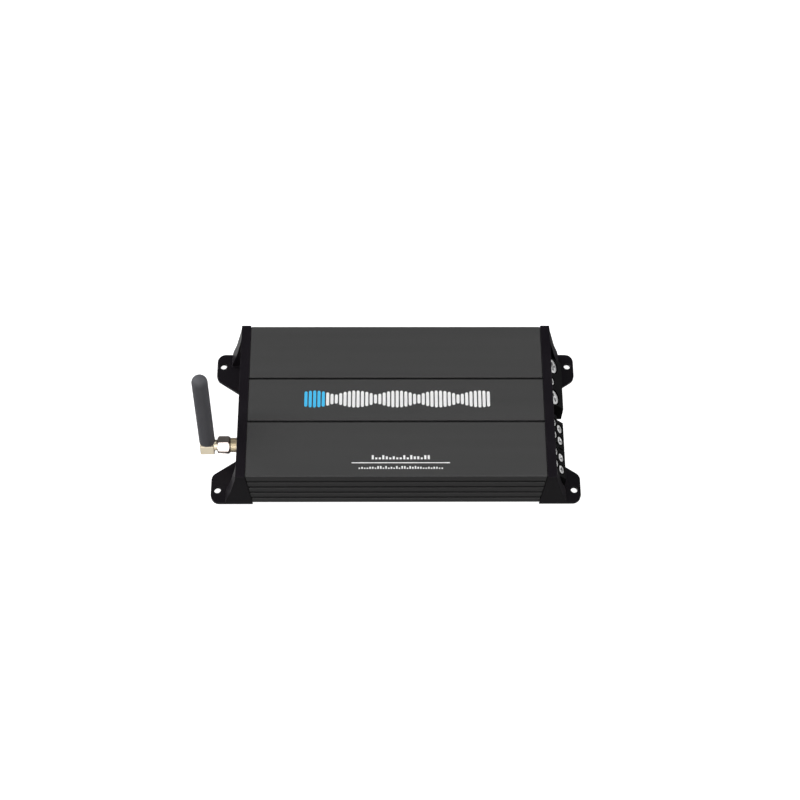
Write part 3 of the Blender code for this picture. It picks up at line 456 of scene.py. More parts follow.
def bake(obj):
    """Applies an object's modifiers."""
    graph = bpy.context.evaluated_depsgraph_get()
    mesh = bpy.data.meshes.new_from_object(obj.evaluated_get(graph))
    old = obj.data
    obj.modifiers.clear()
    obj.data = mesh
    bpy.data.meshes.remove(old)
    return obj


def combine(obj, tools, operation="DIFFERENCE"):
    """Cuts solids from an object one after another, or joins them to it, and removes them."""
    for tool in tools:
        modifier = obj.modifiers.new("Combine", "BOOLEAN")
        modifier.operation = operation
        modifier.solver = "EXACT"
        modifier.object = tool
    bake(obj)
    for tool in tools:
        bpy.data.objects.remove(tool, do_unlink=True)
    return obj


def soften(obj, width, segments=3, angle=32):
    """Rounds the sharp edges and leaves the flat faces shading flat."""
    mesh = obj.data
    mesh.shade_smooth()
    bevel = obj.modifiers.new("Edges", "BEVEL")
    bevel.width = width
    bevel.segments = segments
    bevel.limit_method = "ANGLE"
    bevel.angle_limit = math.radians(angle)
    bevel.harden_normals = True
    bevel.use_clamp_overlap = True
    return obj


def smooth(obj, angle=35):
    obj.data.shade_smooth()
    obj.data.set_sharp_from_angle(angle=math.radians(angle))
    weigh = obj.modifiers.new("Normals", "WEIGHTED_NORMAL")
    weigh.keep_sharp = True
    return obj


def body_of(node):
    return next(name for name, members in BODIES.items() if node in members)


def joint_place(name):
    return next(joint["pos_m"] for joint in JOINTS if joint["name"] == name)


def show(piece, material, *nodes):
    """Puts a piece in the place of CAD nodes, on their body."""
    piece.data.materials.clear()
    piece.data.materials.append(look(material))
    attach(piece, body_of(nodes[0]))
    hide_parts(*nodes)
    return piece


def add(piece, material, node):
    """A piece that goes with a CAD node and rides on its body."""
    piece.data.materials.clear()
    piece.data.materials.append(look(material))
    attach(piece, body_of(node))
    return piece


# Casing


def span(side, near, far):
    """The low and high X of a stretch of one end, given as distances from the middle."""
    return sorted((side * near, side * far))


def sink_half(low, high):
    """Half of the extrusion's section, from the middle of its top to the middle of its ceiling."""
    depth = high.y
    top = high.z
    half = TOP_GROOVE_WIDTH / 2
    edge = 0.0002
    points = [
        (TOP_GROOVES_Y - half - edge, top),
        (TOP_GROOVES_Y - half, top - edge),
        (TOP_GROOVES_Y - half, top - TOP_GROOVE_DEPTH),
        (TOP_GROOVES_Y + half, top - TOP_GROOVE_DEPTH),
        (TOP_GROOVES_Y + half, top - edge),
        (TOP_GROOVES_Y + half + edge, top),
    ]
    points += arc((depth - SHOULDER, top - SHOULDER), SHOULDER, 90, 0, 5)
    floor = depth - SIDE_GROOVE_DEPTH
    for z in SIDE_GROOVES_Z:
        half = SIDE_GROOVE_WIDTH / 2
        points += arc((depth - FIN_EDGE, z + half + FIN_EDGE), FIN_EDGE, 0, -90, 4)
        points += [(floor, z + half), (floor, z - half)]
        points += arc((depth - FIN_EDGE, z - half - FIN_EDGE), FIN_EDGE, 90, 0, 4)
    inner = depth - WALL
    return points + [(depth, SKIRT), (END_HALF_DEPTH, low.z), (inner, low.z), (inner, top - CEILING)]


def mill_tools(side, high):
    """What is taken off one end of the extrusion, so that it sits in its frame."""
    end = high.x + OVERRUN
    top = high.z + OVERRUN
    outside = high.y + OVERRUN
    outline = [(RIM_INNER_BASE - GAP, -OVERRUN), (RIM_INNER_TOP - GAP, top), (end, top), (end, -OVERRUN)]
    outline = [(x * side, z) for x, z in outline]
    slab = rectangle((-outside, END_TOP), (outside, top))
    return [
        prism("rear", outline, "Y", END_HALF_DEPTH, outside),
        prism("front", outline, "Y", -outside, -END_HALF_DEPTH),
        prism("top", slab, "X", *span(side, RIM_INNER_TOP - GAP, end)),
    ]


def make_heatsink():
    low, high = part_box("heatsink")
    half = sink_half(low, high)
    outline = half + [(-y, z) for y, z in reversed(half)]
    sink = prism("heatsink_skin", outline, "X", low.x, high.x)
    for side in (-1, 1):
        combine(sink, mill_tools(side, high))
    show(smooth(sink, 25), "anodised", "heatsink")


def ear_outline(side, end, far, depth):
    points = [(RIM_OUTER - 0.003, depth)]
    points += arc((far - EAR_CORNER, depth - EAR_CORNER), EAR_CORNER, 90, 0, 12)
    points += arc((far - EAR_CORNER, EAR_BEND_Y), EAR_CORNER, 0, -58, 10)
    points += [EAR_TAPER, (RIM_OUTER, EAR_NECK_Y), (RIM_OUTER - 0.003, EAR_NECK_Y)]
    return [(x * side, y * end) for x, y in points]


def smooth_line(points, steps):
    """A Catmull-Rom line through points."""
    padded = [points[0], *points, points[-1]]
    line = []
    for before, start, end, after in zip(padded, padded[1:], padded[2:], padded[3:]):
        for i in range(steps):
            t = i / steps
            weights = (
                (-t**3 + 2 * t**2 - t) / 2,
                (3 * t**3 - 5 * t**2 + 2) / 2,
                (-3 * t**3 + 4 * t**2 + t) / 2,
                (t**3 - t**2) / 2,
            )
            near = (before, start, end, after)
            line.append(tuple(sum(w * p[k] for w, p in zip(weights, near)) for k in (0, 1)))
    return [*line, points[-1]]


def end_frame_cutters(side, near, far, top):
    """The seat of the heat sink, the window, the recess between the posts and the sill's step."""
    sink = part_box("heatsink")[1]
    outer = END_HALF_DEPTH + GAP
    inner = sink.y - WALL - GAP
    half = [
        (outer, END_TOP + GAP),
        (outer, -OVERRUN),
        (inner, -OVERRUN),
        (inner, sink.z - CEILING - GAP),
    ]
    seat = half + [(-y, z) for y, z in reversed(half)]
    window = rectangle((-POST_INNER, FOOT), (POST_INNER, WINDOW_TOP))
    recess = rectangle((-POST_INNER, FOOT), (POST_INNER, top + OVERRUN))
    sill = rectangle((-POST_INNER, -OVERRUN), (POST_INNER, FOOT + OVERRUN))
    return [
        prism("seat", seat, "X", *span(side, near - OVERRUN, sink.x + GAP)),
        prism("window", window, "X", *span(side, near - OVERRUN, far)),
        prism("recess", recess, "X", *span(side, RIM_OUTER, far + OVERRUN)),
        prism("sill", sill, "X", *span(side, SILL, far + OVERRUN)),
    ]


def make_end_frame(node, side):
    low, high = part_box(node)
    far = high.x if side > 0 else -low.x
    near = low.x if side > 0 else -high.x
    depth = high.y
    flare = smooth_line([(RIM_OUTER, high.z), *FLARE], 4)
    profile = [(RIM_INNER_BASE, 0), (RIM_INNER_TOP, high.z), *flare, (FLARE[-1][0], 0)]
    frame = prism(node + "_skin", [(x * side, z) for x, z in profile], "Y", -depth, depth)
    combine(frame, end_frame_cutters(side, near, far, high.z))
    ears = [prism("ear", ear_outline(side, end, far, depth), "Z", 0, FOOT) for end in (-1, 1)]
    combine(frame, ears, "UNION")
    holes = []
    for end in (-1, 1):
        hole = circle((EAR_HOLE[0] * side, EAR_HOLE[1] * end), EAR_HOLE_RADIUS)
        holes.append(prism("hole", hole, "Z", -OVERRUN, FOOT + OVERRUN))
    combine(frame, holes)
    show(soften(frame, FRAME_EDGE), "black_gloss", node)


def make_plate():
    low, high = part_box("bottom_plate")
    plate = block("bottom_plate_skin", low, high)
    seats = []
    for node in BASE_SCREWS:
        screw_low, screw_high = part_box(node)
        centre = (screw_low + screw_high) / 2
        radius = (screw_high.x - screw_low.x) / 2 + GAP
        if low.x < centre.x < high.x:
            profile = [(0, high.z + OVERRUN), (radius / 2, high.z + OVERRUN), (radius / 2, radius / 2)]
            profile += [(radius, 0), (radius, -OVERRUN), (0, -OVERRUN)]
            seats.append(lathe("seat", profile, pose((centre.x, centre.y, 0)), 32))
    combine(plate, seats)
    show(soften(plate, 0.0002, 2), "steel_plate", "bottom_plate")


# Screws and terminals


def cross_cutter(radius, depth, matrix):
    """A tapered cross recess, made round Z with its mouth at height 0."""
    tools = []
    for turn in (0, RIGHT_ANGLE):
        mesh_bm = bmesh.new()
        rings = []
        for share, height in ((1.0, OVERRUN / 4), (0.98, 0), (0.6, -depth)):
            long = radius * CROSS_LENGTH * share
            wide = radius * CROSS_WIDTH * (0.5 + share / 2)
            corners = ((-long, -wide), (long, -wide), (long, wide), (-long, wide))
            rings.append([mesh_bm.verts.new((x, y, height)) for x, y in corners])
        for upper, lower in zip(rings, rings[1:]):
            for i in range(4):
                j = (i + 1) % 4
                mesh_bm.faces.new((upper[i], upper[j], lower[j], lower[i]))
        mesh_bm.faces.new(rings[0])
        mesh_bm.faces.new(rings[-1])
        tools.append(as_object("cross", mesh_bm, matrix @ Matrix.Rotation(turn, 4, "Z")))
    return tools


def make_terminal_screw(node, place, normal, sizes, spin):
    radius, height, shank, length = sizes
    dome = radius * 0.06
    edge = radius * 0.1
    crown = [(share * (radius - edge), -dome * share**2) for share in (0, 0.25, 0.5, 0.75, 1)]
    rim = arc((radius - edge, -dome - edge), edge, 75, 0, 4)
    ridges = []
    z = -height - 2 * SCREW_THREAD
    while z > -length + 4 * SCREW_THREAD:
        ridges += [(shank, z), (shank - SCREW_THREAD, z - SCREW_THREAD)]
        z -= 2 * SCREW_THREAD
    profile = [*crown, *rim, (radius, -height), (shank, -height), *ridges]
    profile += [(shank * 0.8, -length), (0, -length)]
    matrix = pose(Vector(place) - Vector(normal) * SCREW_SINK, normal, spin)
    screw = lathe(node + "_skin", profile, matrix, 56)
    combine(screw, cross_cutter(radius, height * 0.6, matrix))
    show(smooth(screw), "screw_steel", node)


def well(place, normal, sizes):
    radius, height, shank, length = sizes
    depth = height + SCREW_SINK + GAP
    profile = [
        (0, OVERRUN),
        (radius + GAP, OVERRUN),
        (radius + GAP, -depth),
        (shank + GAP, -depth),
        (shank + GAP, -length - SCREW_SINK - GAP),
        (0, -length - SCREW_SINK - GAP),
    ]
    return lathe("well", profile, pose(place, normal), 48)


def wire_socket(x, y, z, width, height):
    low = (x - SMALL_WIRE_DEPTH, y - width / 2, z - height / 2)
    return block("wire", low, (x + OVERRUN, y + width / 2, z + height / 2))


def power_wire_socket(place):
    profile = [(0, 0), (POWER_WIRE_RADIUS, 0)]
    profile += [(POWER_WIRE_RADIUS, POWER_WIRE_DEPTH + OVERRUN), (0, POWER_WIRE_DEPTH + OVERRUN)]
    return lathe("wire", profile, pose((POWER_NOSE[0] + OVERRUN, place.y, WIRE_Z), (-1, 0, 0)), 48)


def terminal_places():
    """(node, place, normal) of each terminal screw, from the joints."""
    found = {}
    for joint in JOINTS:
        if "screw" in joint["name"]:
            node = joint["name"].removesuffix("_turn")
            found[node] = (Vector(joint["pos_m"]), Vector(joint["axis"]).normalized())
    return found


def finish_block(node, profile, tools):
    low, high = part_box(node)
    piece = prism(node + "_skin", profile, "Y", low.y, high.y)
    combine(piece, tools)
    show(soften(piece, 0.00028, 2), "black_moulded", node)


def make_terminals():
    rng = random.Random(7)
    places = terminal_places()
    wells = {node: [] for node in ("power_terminal_block", "speaker_block_front", "speaker_block_rear")}
    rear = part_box("power_terminal_block")[0].x
    for node, (place, normal) in places.items():
        large = node in ("ground_screw", "battery_screw")
        sizes = POWER_SCREW if large else SMALL_SCREW
        make_terminal_screw(node, place, normal, sizes, rng.uniform(0, RIGHT_ANGLE))
        owner = next(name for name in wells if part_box(name)[0].y < place.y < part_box(name)[1].y)
        wells[owner].append(well(place, normal, sizes))
        if large:
            tool = power_wire_socket(place)
        elif owner == "power_terminal_block":
            tool = wire_socket(POWER_NOSE[0], place.y, WIRE_Z, SMALL_WIRE_WIDTH, SMALL_WIRE_WIDTH)
        elif place.x > SPEAKER_DECK[0]:
            tool = wire_socket(SPEAKER_NOSE[0], place.y, WIRE_Z, SMALL_WIRE_WIDTH, SMALL_WIRE_WIDTH)
        else:
            deck_z = (SPEAKER_STEP[1] + SPEAKER_DECK[1]) / 2 - GAP
            tool = wire_socket(SPEAKER_DECK[0], place.y, deck_z, SMALL_WIRE_WIDTH, UPPER_WIRE_HEIGHT)
        wells[owner].append(tool)
    foot = [(rear, ABOVE_BOARD), (BLOCK_FRONT, ABOVE_BOARD), (BLOCK_FRONT, BLOCK_BASE)]
    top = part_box("power_terminal_block")[1].z
    power = [*foot, (POWER_NOSE[0], BLOCK_BASE), POWER_NOSE, POWER_BACK, (POWER_BACK[0], top), (rear, top)]
    finish_block("power_terminal_block", power, wells["power_terminal_block"])
    for node in ("speaker_block_front", "speaker_block_rear"):
        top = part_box(node)[1].z
        steps = [SPEAKER_NOSE, SPEAKER_STEP, SPEAKER_DECK, SPEAKER_BACK]
        profile = [*foot, (SPEAKER_NOSE[0], BLOCK_BASE), *steps, (rear, top)]
        finish_block(node, profile, wells[node])


def fuse_outline(face, low, high):
    """The side view of the fuse's body, waisted for the fingers."""
    middle = (low.z + high.z) / 2
    half = (high.z - low.z) / 2
    near, far = (half * share for share in FUSE_WAIST)
    lower = [
        (face, middle - half),
        (high.x - FUSE_RIM, middle - half),
        (high.x, middle - half + FUSE_RIM),
        (high.x, middle - far),
        (high.x - FUSE_RIM, middle - near),
    ]
    return lower + [(x, 2 * middle - z) for x, z in reversed(lower)]


def make_fuse():
    low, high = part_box("fuse")
    holder_low, holder_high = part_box("fuse_holder")
    face = low.x + FUSE_BODY
    body = prism("fuse_skin", fuse_outline(face, low, high), "Y", low.y, high.y)
    show(soften(body, 0.0005, 3), "amber", "fuse")
    root = face + OVERRUN / 2
    slots = []
    for i, z in enumerate((low.z + BLADE_INSET, high.z - BLADE_INSET - BLADE_WIDTH)):
        top = z + BLADE_WIDTH
        tip = [(low.x + BLADE_TIP, z), (root, z), (root, top), (low.x + BLADE_TIP, top)]
        tip += [(low.x, top - BLADE_TIP), (low.x, z + BLADE_TIP)]
        blade = prism(f"fuse_blade_{i + 1}", tip, "Y", -BLADE_HALF_THICKNESS, BLADE_HALF_THICKNESS)
        add(soften(blade, 0.0001, 2), "zinc", "fuse")
        width = BLADE_HALF_THICKNESS + GAP
        slot_high = (holder_high.x + OVERRUN, width, top + GAP)
        slots.append(block("slot", (low.x - GAP, -width, z - GAP), slot_high))
    holder = block("fuse_holder_skin", holder_low, holder_high)
    combine(holder, slots)
    show(soften(holder, 0.0003, 2), "black_moulded", "fuse_holder")


# Antenna


def thread(radius, start, end):
    """The crests and roots of a thread, as (radius, height) from start up to end."""
    count = max(1, round((end - start) / THREAD_PITCH))
    step = (end - start) / count
    points = []
    for i in range(count):
        base = start + i * step
        points += [(radius, base + step * 0.15), (radius, base + step * 0.45)]
        points.append((radius - THREAD_DEPTH, base + step * 0.8))
    return points


def connector_profile(inner_x, length):
    """The connector from its socket, as (radius, height), back to the end inside the panel."""
    body = inner_x - CONNECTOR_BODY_X
    flange = inner_x + PANEL_FACE + GAP
    barrel, threaded = CONNECTOR_RADIUS, CONNECTOR_THREAD_RADIUS
    socket, depth = CONNECTOR_SOCKET
    rim, thickness = FLANGE
    profile = [(0, length - depth), (socket, length - depth), (socket, length)]
    profile += [(threaded - 2 * CHAMFER, length), (threaded, length - 2 * CHAMFER)]
    profile += reversed(thread(threaded, body, length - 0.0006))
    profile += [(threaded, body), (barrel - CHAMFER, body), (barrel, body - CHAMFER)]
    profile += reversed(thread(barrel, flange + 0.002, body - 0.0006))
    profile += [(barrel, flange + thickness), (rim - CHAMFER, flange + thickness)]
    profile += [(rim, flange + thickness - CHAMFER), (rim, flange)]
    return profile + [(threaded, flange), (threaded, 0), (0, 0)]


def make_connector(axis_y, axis_z):
    low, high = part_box("antenna_connector")
    stand = pose((high.x, axis_y, axis_z), (-1, 0, 0))
    connector = lathe("antenna_connector_skin", connector_profile(high.x, high.x - low.x), stand)
    show(smooth(connector), "pale_gold", "antenna_connector")


def make_nut(axis_y, axis_z):
    low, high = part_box("antenna_nut")
    stand = pose(((low.x + high.x) / 2, axis_y, axis_z), (-1, 0, 0))
    corner = NUT_FLATS / math.sqrt(3)
    half = (high.x - low.x) / 2
    turn = Matrix.Rotation(NUT_TURN, 2)
    axis = Vector((axis_y, axis_z))
    outline = [(axis + turn @ Vector(point))[:] for point in circle((0, 0), corner, 6)]
    nut = prism("antenna_nut_skin", outline, "X", low.x, high.x)
    chamfered = [
        (0, half),
        (NUT_FLATS / 2 - CHAMFER, half),
        (corner, half - NUT_CHAMFER),
        (corner, NUT_CHAMFER - half),
        (NUT_FLATS / 2 - CHAMFER, -half),
        (0, -half),
    ]
    combine(nut, [lathe("blank", chamfered, stand)], "INTERSECT")
    radius, reach = NUT_BORE
    combine(nut, [rod("bore", radius, -reach, reach, stand, 64)])
    show(soften(nut, 0.0002, 2), "nickel", "antenna_nut")


def make_elbow(axis_y, axis_z, lean):
    low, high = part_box("antenna_elbow")
    half = ELBOW_SIDE / 2
    middle_x = low.x + half
    stand = pose((middle_x, axis_y, axis_z), lean)
    elbow = block("antenna_elbow_skin", (-half, -half, -ELBOW_DROP), (half, half, SLEEVE_START - GAP))
    bake(soften(elbow, 0.0004))
    elbow.data.transform(stand)
    joined = [rod("stub", STUB[0], 0, SLEEVE_START + STUB[1], stand)]
    ends = ((high.x, NECK_STEP_X - NECK_LAP), (NECK_STEP_X, middle_x))
    for (start, end), radius in zip(ends, NECK_RADII):
        joined.append(rod("neck", radius, 0, start - end, pose((start, axis_y, axis_z), (-1, 0, 0))))
    combine(elbow, joined, "UNION")
    show(smooth(elbow), "pale_gold", "antenna_elbow")
    return stand


def make_sleeve(axis_z, lean, stand):
    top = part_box("antenna_sleeve")[1].z - SLEEVE_RADIUS
    dome_height = (top - axis_z) / lean.z
    bore = STUB[0] + GAP
    end = SLEEVE_START + STUB[1] + GAP
    profile = [(0, dome_height + SLEEVE_RADIUS)]
    profile += arc((0, dome_height), SLEEVE_RADIUS, 82, 0, 14)
    profile += [(SLEEVE_RADIUS, SLEEVE_START + 0.0006), (SLEEVE_RADIUS - 0.0002, SLEEVE_START + 0.0001)]
    profile += [(SLEEVE_RADIUS - 0.0006, SLEEVE_START), (bore, SLEEVE_START), (bore, end), (0, end)]
    sleeve = lathe("antenna_sleeve_skin", profile, stand, 72)
    show(smooth(sleeve, 50), "rubber", "antenna_sleeve")


def lean_direction(axis_y, axis_z):
    """The direction the antenna points in, from the connector's axis to the top of the sleeve."""
    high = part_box("antenna_sleeve")[1]
    return Vector((0, high.y - SLEEVE_RADIUS - axis_y, high.z - SLEEVE_RADIUS - axis_z)).normalized()


def make_antenna():
    axis_y, axis_z = joint_place("antenna_swivel")[1:]
    lean = lean_direction(axis_y, axis_z)
    make_connector(axis_y, axis_z)
    make_nut(axis_y, axis_z)
    stand = make_elbow(axis_y, axis_z, lean)
    make_sleeve(axis_z, lean, stand)


# Left end


def knob_outline(radius):
    """A round outline with small ridges for the fingers."""
    outline = []
    for i in range(KNOB_RIDGES * 4):
        angle = 2 * math.pi * i / (KNOB_RIDGES * 4)
        share = 1 if i % 4 in (0, 1) else KNOB_VALLEY
        outline.append((radius * share * math.cos(angle), radius * share * math.sin(angle)))
    return outline


def make_knobs():
    for joint in JOINTS:
        if "knob" not in joint["name"]:
            continue
        node = joint["name"].removesuffix("_turn")
        low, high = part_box(node)
        radius = (high.z - low.z) / 2
        reach = high.x - low.x
        panel = high.x + PANEL_FACE + GAP
        grip = prism(node + "_skin", knob_outline(radius), "Z", panel, reach)
        profile = [(0, reach + 0.0001), (radius * 0.8, reach + 0.0001), (radius * 1.02, reach - 0.0006)]
        profile += [(radius * 1.02, panel - 0.0001), (0, panel - 0.0001)]
        combine(grip, [lathe("blank", profile)], "INTERSECT")
        combine(grip, [rod("shaft", KNOB_SHAFT, 0, panel + 0.001, None, 32)], "UNION")
        length, width, depth = KNOB_SLOT
        length *= radius
        slot = block("slot", (-length, -width, reach - depth), (length, width, reach + OVERRUN))
        combine(grip, [slot])
        grip.data.transform(pose((high.x, *joint["pos_m"][1:]), (-1, 0, 0)))
        show(soften(grip, 0.00012, 2), "black_moulded", node)


def make_switches():
    for node in SWITCHES:
        low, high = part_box(node)
        switch = block(node + "_skin", low, high)
        ribs = []
        for i in range(SWITCH_RIBS):
            y = low.y + (high.y - low.y) * (i + 1) / (SWITCH_RIBS + 1)
            rib_low = (low.x - OVERRUN, y - RIB_HALF_WIDTH, low.z - OVERRUN)
            rib_high = (low.x + RIB_DEPTH, y + RIB_HALF_WIDTH, high.z + OVERRUN)
            ribs.append(block("rib", rib_low, rib_high))
        combine(switch, ribs)
        show(soften(switch, 0.00015, 2), "white_plastic", node)


def make_light():
    low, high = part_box("power_led")
    radius = (high.z - low.z) / 2
    reach = high.x - low.x
    dome = arc((0, reach - radius * 0.9), radius, 64, 0, 8)
    profile = [(0, reach)] + dome + [(radius, 0), (0, 0)]
    centre = (low + high) / 2
    light = lathe("power_led_skin", profile, pose((high.x, centre.y, centre.z), (-1, 0, 0)), 48)
    show(smooth(light, 50), "blue_lens", "power_led")


def shell_profile(reach):
    """A phono socket's plated shell, open through, with a groove round it and a flange at the panel."""
    outer, inner = SHELL_OUTER, SHELL_INNER
    return [
        (inner + 0.0002, reach),
        (outer - 0.0003, reach),
        (outer, reach - 0.0003),
        (outer, reach * 0.62),
        (outer - 0.0002, reach * 0.6),
        (outer - 0.0002, reach * 0.5),
        (outer, reach * 0.48),
        (outer, 0.0011),
        (outer + 0.0003, 0.0008),
        (outer + 0.0007, 0.0008),
        (outer + 0.0009, 0.0006),
        (outer + 0.0009, 0),
        (inner, 0),
        (inner, reach - 0.0002),
    ]


def core_profile(length):
    """The coloured insulator inside a shell, with the hole for the plug's pin."""
    return [
        (0, length * 0.5),
        (CORE_HOLE, length * 0.5),
        (CORE_HOLE + 0.0004, length - 0.0003),
        (CORE_HOLE + 0.0007, length),
        (CORE_RADIUS - 0.0004, length),
        (CORE_RADIUS, length - 0.0004),
        (CORE_RADIUS, 0),
        (0, 0),
    ]


def make_sockets():
    low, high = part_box("phono_block")
    base = block("phono_block_skin", (SOCKET_BASE_X, low.y, low.z), high)
    show(soften(base, 0.0004, 3), "black_moulded", "phono_block")
    root = SOCKET_BASE_X + SOCKET_LAP
    for i in range(1, 5):
        node = f"phono_shell_{i}"
        shell_low, shell_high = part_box(node)
        centre = (shell_low + shell_high) / 2
        stand = pose((shell_high.x, centre.y, centre.z), (-1, 0, 0))
        shell = lathe(node + "_skin", shell_profile(shell_high.x - shell_low.x), stand, 56, closed=True)
        show(smooth(shell, 30), "gold", node)
        start = pose((root, centre.y, centre.z), (-1, 0, 0))
        core = lathe(f"phono_core_{i}", core_profile(root - low.x), start, 48)
        add(smooth(core), "white_plastic" if i % 2 else "red_plastic", "phono_block")


# Panels and printed marks


def flat_mark(name, outline, axis, place, side=1):
    """A printed mark, one ink layer thick, standing on a face."""
    near = place + side * INK_LIFT
    return prism(name, outline, axis, *sorted((near, near + side * INK)))


def rounded_bar(centre, width, height, steps=8):
    """The outline of an upright bar with round ends."""
    u, v = centre
    radius = width / 2
    reach = max(height / 2 - radius, 0)
    return arc((u, v + reach), radius, 0, 180, steps) + arc((u, v - reach), radius, 180, 360, steps)


def join_pieces(name, parts):
    mesh_bm = bmesh.new()
    for part in parts:
        mesh_bm.from_mesh(part.data)
        bpy.data.objects.remove(part, do_unlink=True)
    return as_object(name, mesh_bm)


def level_bars(top):
    """The white and the blue bars of a generic level display."""
    white = []
    blue = []
    pitch = MARK_LENGTH / MARK_BARS
    for i in range(MARK_BARS):
        x = MARK_X + (i - (MARK_BARS - 1) / 2) * pitch
        swell = 0.5 + 0.5 * abs(math.cos((i - BLUE_BARS // 2) * math.pi / BAR_WAVE))
        outline = rounded_bar((x, MARK_Y), pitch * BAR_SHARE, MARK_HEIGHT * swell)
        bar = flat_mark("bar", outline, "Z", top)
        (blue if i < BLUE_BARS else white).append(bar)
    return white, blue


def tick_row(top, rng, shift, length, height, step):
    base = RULE_Y + shift - height / 2
    count = round(length / step)
    ticks = []
    for i in range(count):
        x = RULE_X + (i - (count - 1) / 2) * step
        tall = height * rng.choice((1, 0.72, 0.45))
        outline = rectangle((x - step * 0.3, base), (x + step * 0.3, base + tall))
        ticks.append(flat_mark("tick", outline, "Z", top))
    return ticks


def make_marks():
    """A generic level-bar motif, and a rule with rows of ticks, printed on the heat sink."""
    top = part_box("heatsink")[1].z
    white, blue = level_bars(top)
    add(join_pieces("mark_level_bars", white), "white_ink", "heatsink")
    add(join_pieces("mark_level_bars_end", blue), "blue_ink", "heatsink")
    left, right = RULE_X - RULE_LENGTH / 2, RULE_X + RULE_LENGTH / 2
    rule = rectangle((left, RULE_Y - RULE_HALF_WIDTH), (right, RULE_Y + RULE_HALF_WIDTH))
    lines = [flat_mark("rule", rule, "Z", top)]
    rng = random.Random(3)
    for row in TICK_ROWS:
        lines += tick_row(top, rng, *row)
    add(join_pieces("mark_rule", lines), "white_ink", "heatsink")


def ring_segment(centre, radius, width, start, end, steps=24):
    inner = arc(centre, radius, start, end, steps)
    outer = arc(centre, radius + width, end, start, steps)
    return inner + outer


def make_panel(node, holes):
    low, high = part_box(node)
    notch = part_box("heatsink")[1].y - WALL - GAP - BOSS_DEPTH
    points = [(high.y, high.z), (high.y, BOSS_TOP), (notch, BOSS_TOP), (notch, low.z)]
    outline = points + [(-y, z) for y, z in reversed(points)]
    panel = prism(node + "_skin", outline, "X", low.x, high.x)
    cutters = [prism("hole", hole, "X", low.x - OVERRUN, high.x + OVERRUN) for hole in holes]
    combine(panel, cutters)
    show(soften(panel, 0.00015, 2), "black_moulded", node)


def grown(node):
    low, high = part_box(node)
    floor = max(low.z, ABOVE_BOARD)
    return rectangle((low.y - GAP, floor - GAP), (high.y + GAP, high.z + GAP))


def middle_of(node):
    low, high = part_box(node)
    return (low.y + high.y) / 2, (low.z + high.z) / 2


def switch_slot(node):
    low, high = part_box(node)
    travel = SWITCH_TRAVEL + GAP
    return rectangle((low.y - travel, low.z - GAP), (high.y + travel, high.z + GAP))


def dial(centre, face):
    """A ring and its ticks, printed round a knob."""
    ring = ring_segment(centre, DIAL_RADIUS, DIAL_LINE, *DIAL_SWEEP)
    marks = [flat_mark("dial", ring, "X", face, -1)]
    inner, outer, longest = DIAL_TICK_ENDS
    start, end = DIAL_SWEEP
    for i in range(DIAL_TICKS):
        angle = math.radians(start + (end - start) * i / (DIAL_TICKS - 1))
        direction = Vector((math.cos(angle), math.sin(angle)))
        across = Vector((-direction.y, direction.x)) * 0.00012
        near = Vector(centre) + direction * inner
        far = Vector(centre) + direction * (longest if i % 4 == 0 else outer)
        outline = [near - across, far - across, far + across, near + across]
        marks.append(flat_mark("tick", [tuple(point) for point in outline], "X", face, -1))
    return marks


def switch_stops(node, face):
    """Three short lines printed above a slide switch."""
    middle = middle_of(node)[0]
    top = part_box(node)[1].z
    marks = []
    for i in (-1, 0, 1):
        y = middle + i * SWITCH_TRAVEL
        outline = rectangle((y - 0.00015, top + 0.0009), (y + 0.00015, top + 0.0019))
        marks.append(flat_mark("stop", outline, "X", face, -1))
    return marks


def make_panels():
    passing = ("power_terminal_block", "speaker_block_front", "speaker_block_rear", "fuse_holder")
    make_panel("right_panel", [grown(node) for node in passing])
    knobs = [joint["pos_m"][1:] for joint in JOINTS if "knob" in joint["name"]]
    shells = [middle_of(f"phono_shell_{i}") for i in range(1, 5)]
    holes = [circle(joint_place("antenna_swivel")[1:], SHELL_INNER)]
    holes.append(circle(middle_of("power_led"), SHAFT_HOLE))
    holes += [circle(place, SHAFT_HOLE, 32) for place in knobs]
    holes += [circle(place, SHELL_INNER) for place in shells]
    holes += [switch_slot(node) for node in SWITCHES]
    make_panel("left_panel", holes)
    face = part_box("left_panel")[0].x
    marks = []
    for place in knobs:
        marks += dial(place, face)
    for node in SWITCHES:
        marks += switch_stops(node, face)
    add(join_pieces("mark_dials", marks), "white_ink", "left_panel")


# Carried-over CAD nodes


def dress(node, material, bevel=0.0):
    obj = NODES[node]
    obj.data.materials.clear()
    obj.data.materials.append(look(material))
    if bevel:
        soften(obj, bevel, 2)
    else:
        smooth(obj)


def dress_inner_nodes():
    dress("main_board", "circuit_board")
    dress("control_board", "circuit_board")
    dress("wireless_board", "blue_board")
    dress("clamp_bar", "bare_aluminium")
    dress("toroid_transformer", "enamelled_wire")
    dress("inductor", "ferrite")
    for i in (1, 2):
        dress(f"capacitor_{i}", "sleeved_can")
    for i in range(1, 5):
        dress(f"transistor_{i}", "black_moulded")
    for node in BASE_SCREWS:
        dress(node, "zinc")


# Stage


def sun(name, toward, power, spread):
    data = bpy.data.lights.new(name, "SUN")
    data.energy = power
    data.angle = math.radians(spread)
    lamp = bpy.data.objects.new(name, data)
    bpy.context.scene.collection.objects.link(lamp)
    lamp.rotation_euler = Vector(toward).to_track_quat("Z", "Y").to_euler()
    return lamp


def card(name, toward, power, spread):
    """A white card in the studio, which shows in glossy surfaces only."""
    sun(name, toward, power, spread).visible_diffuse = False


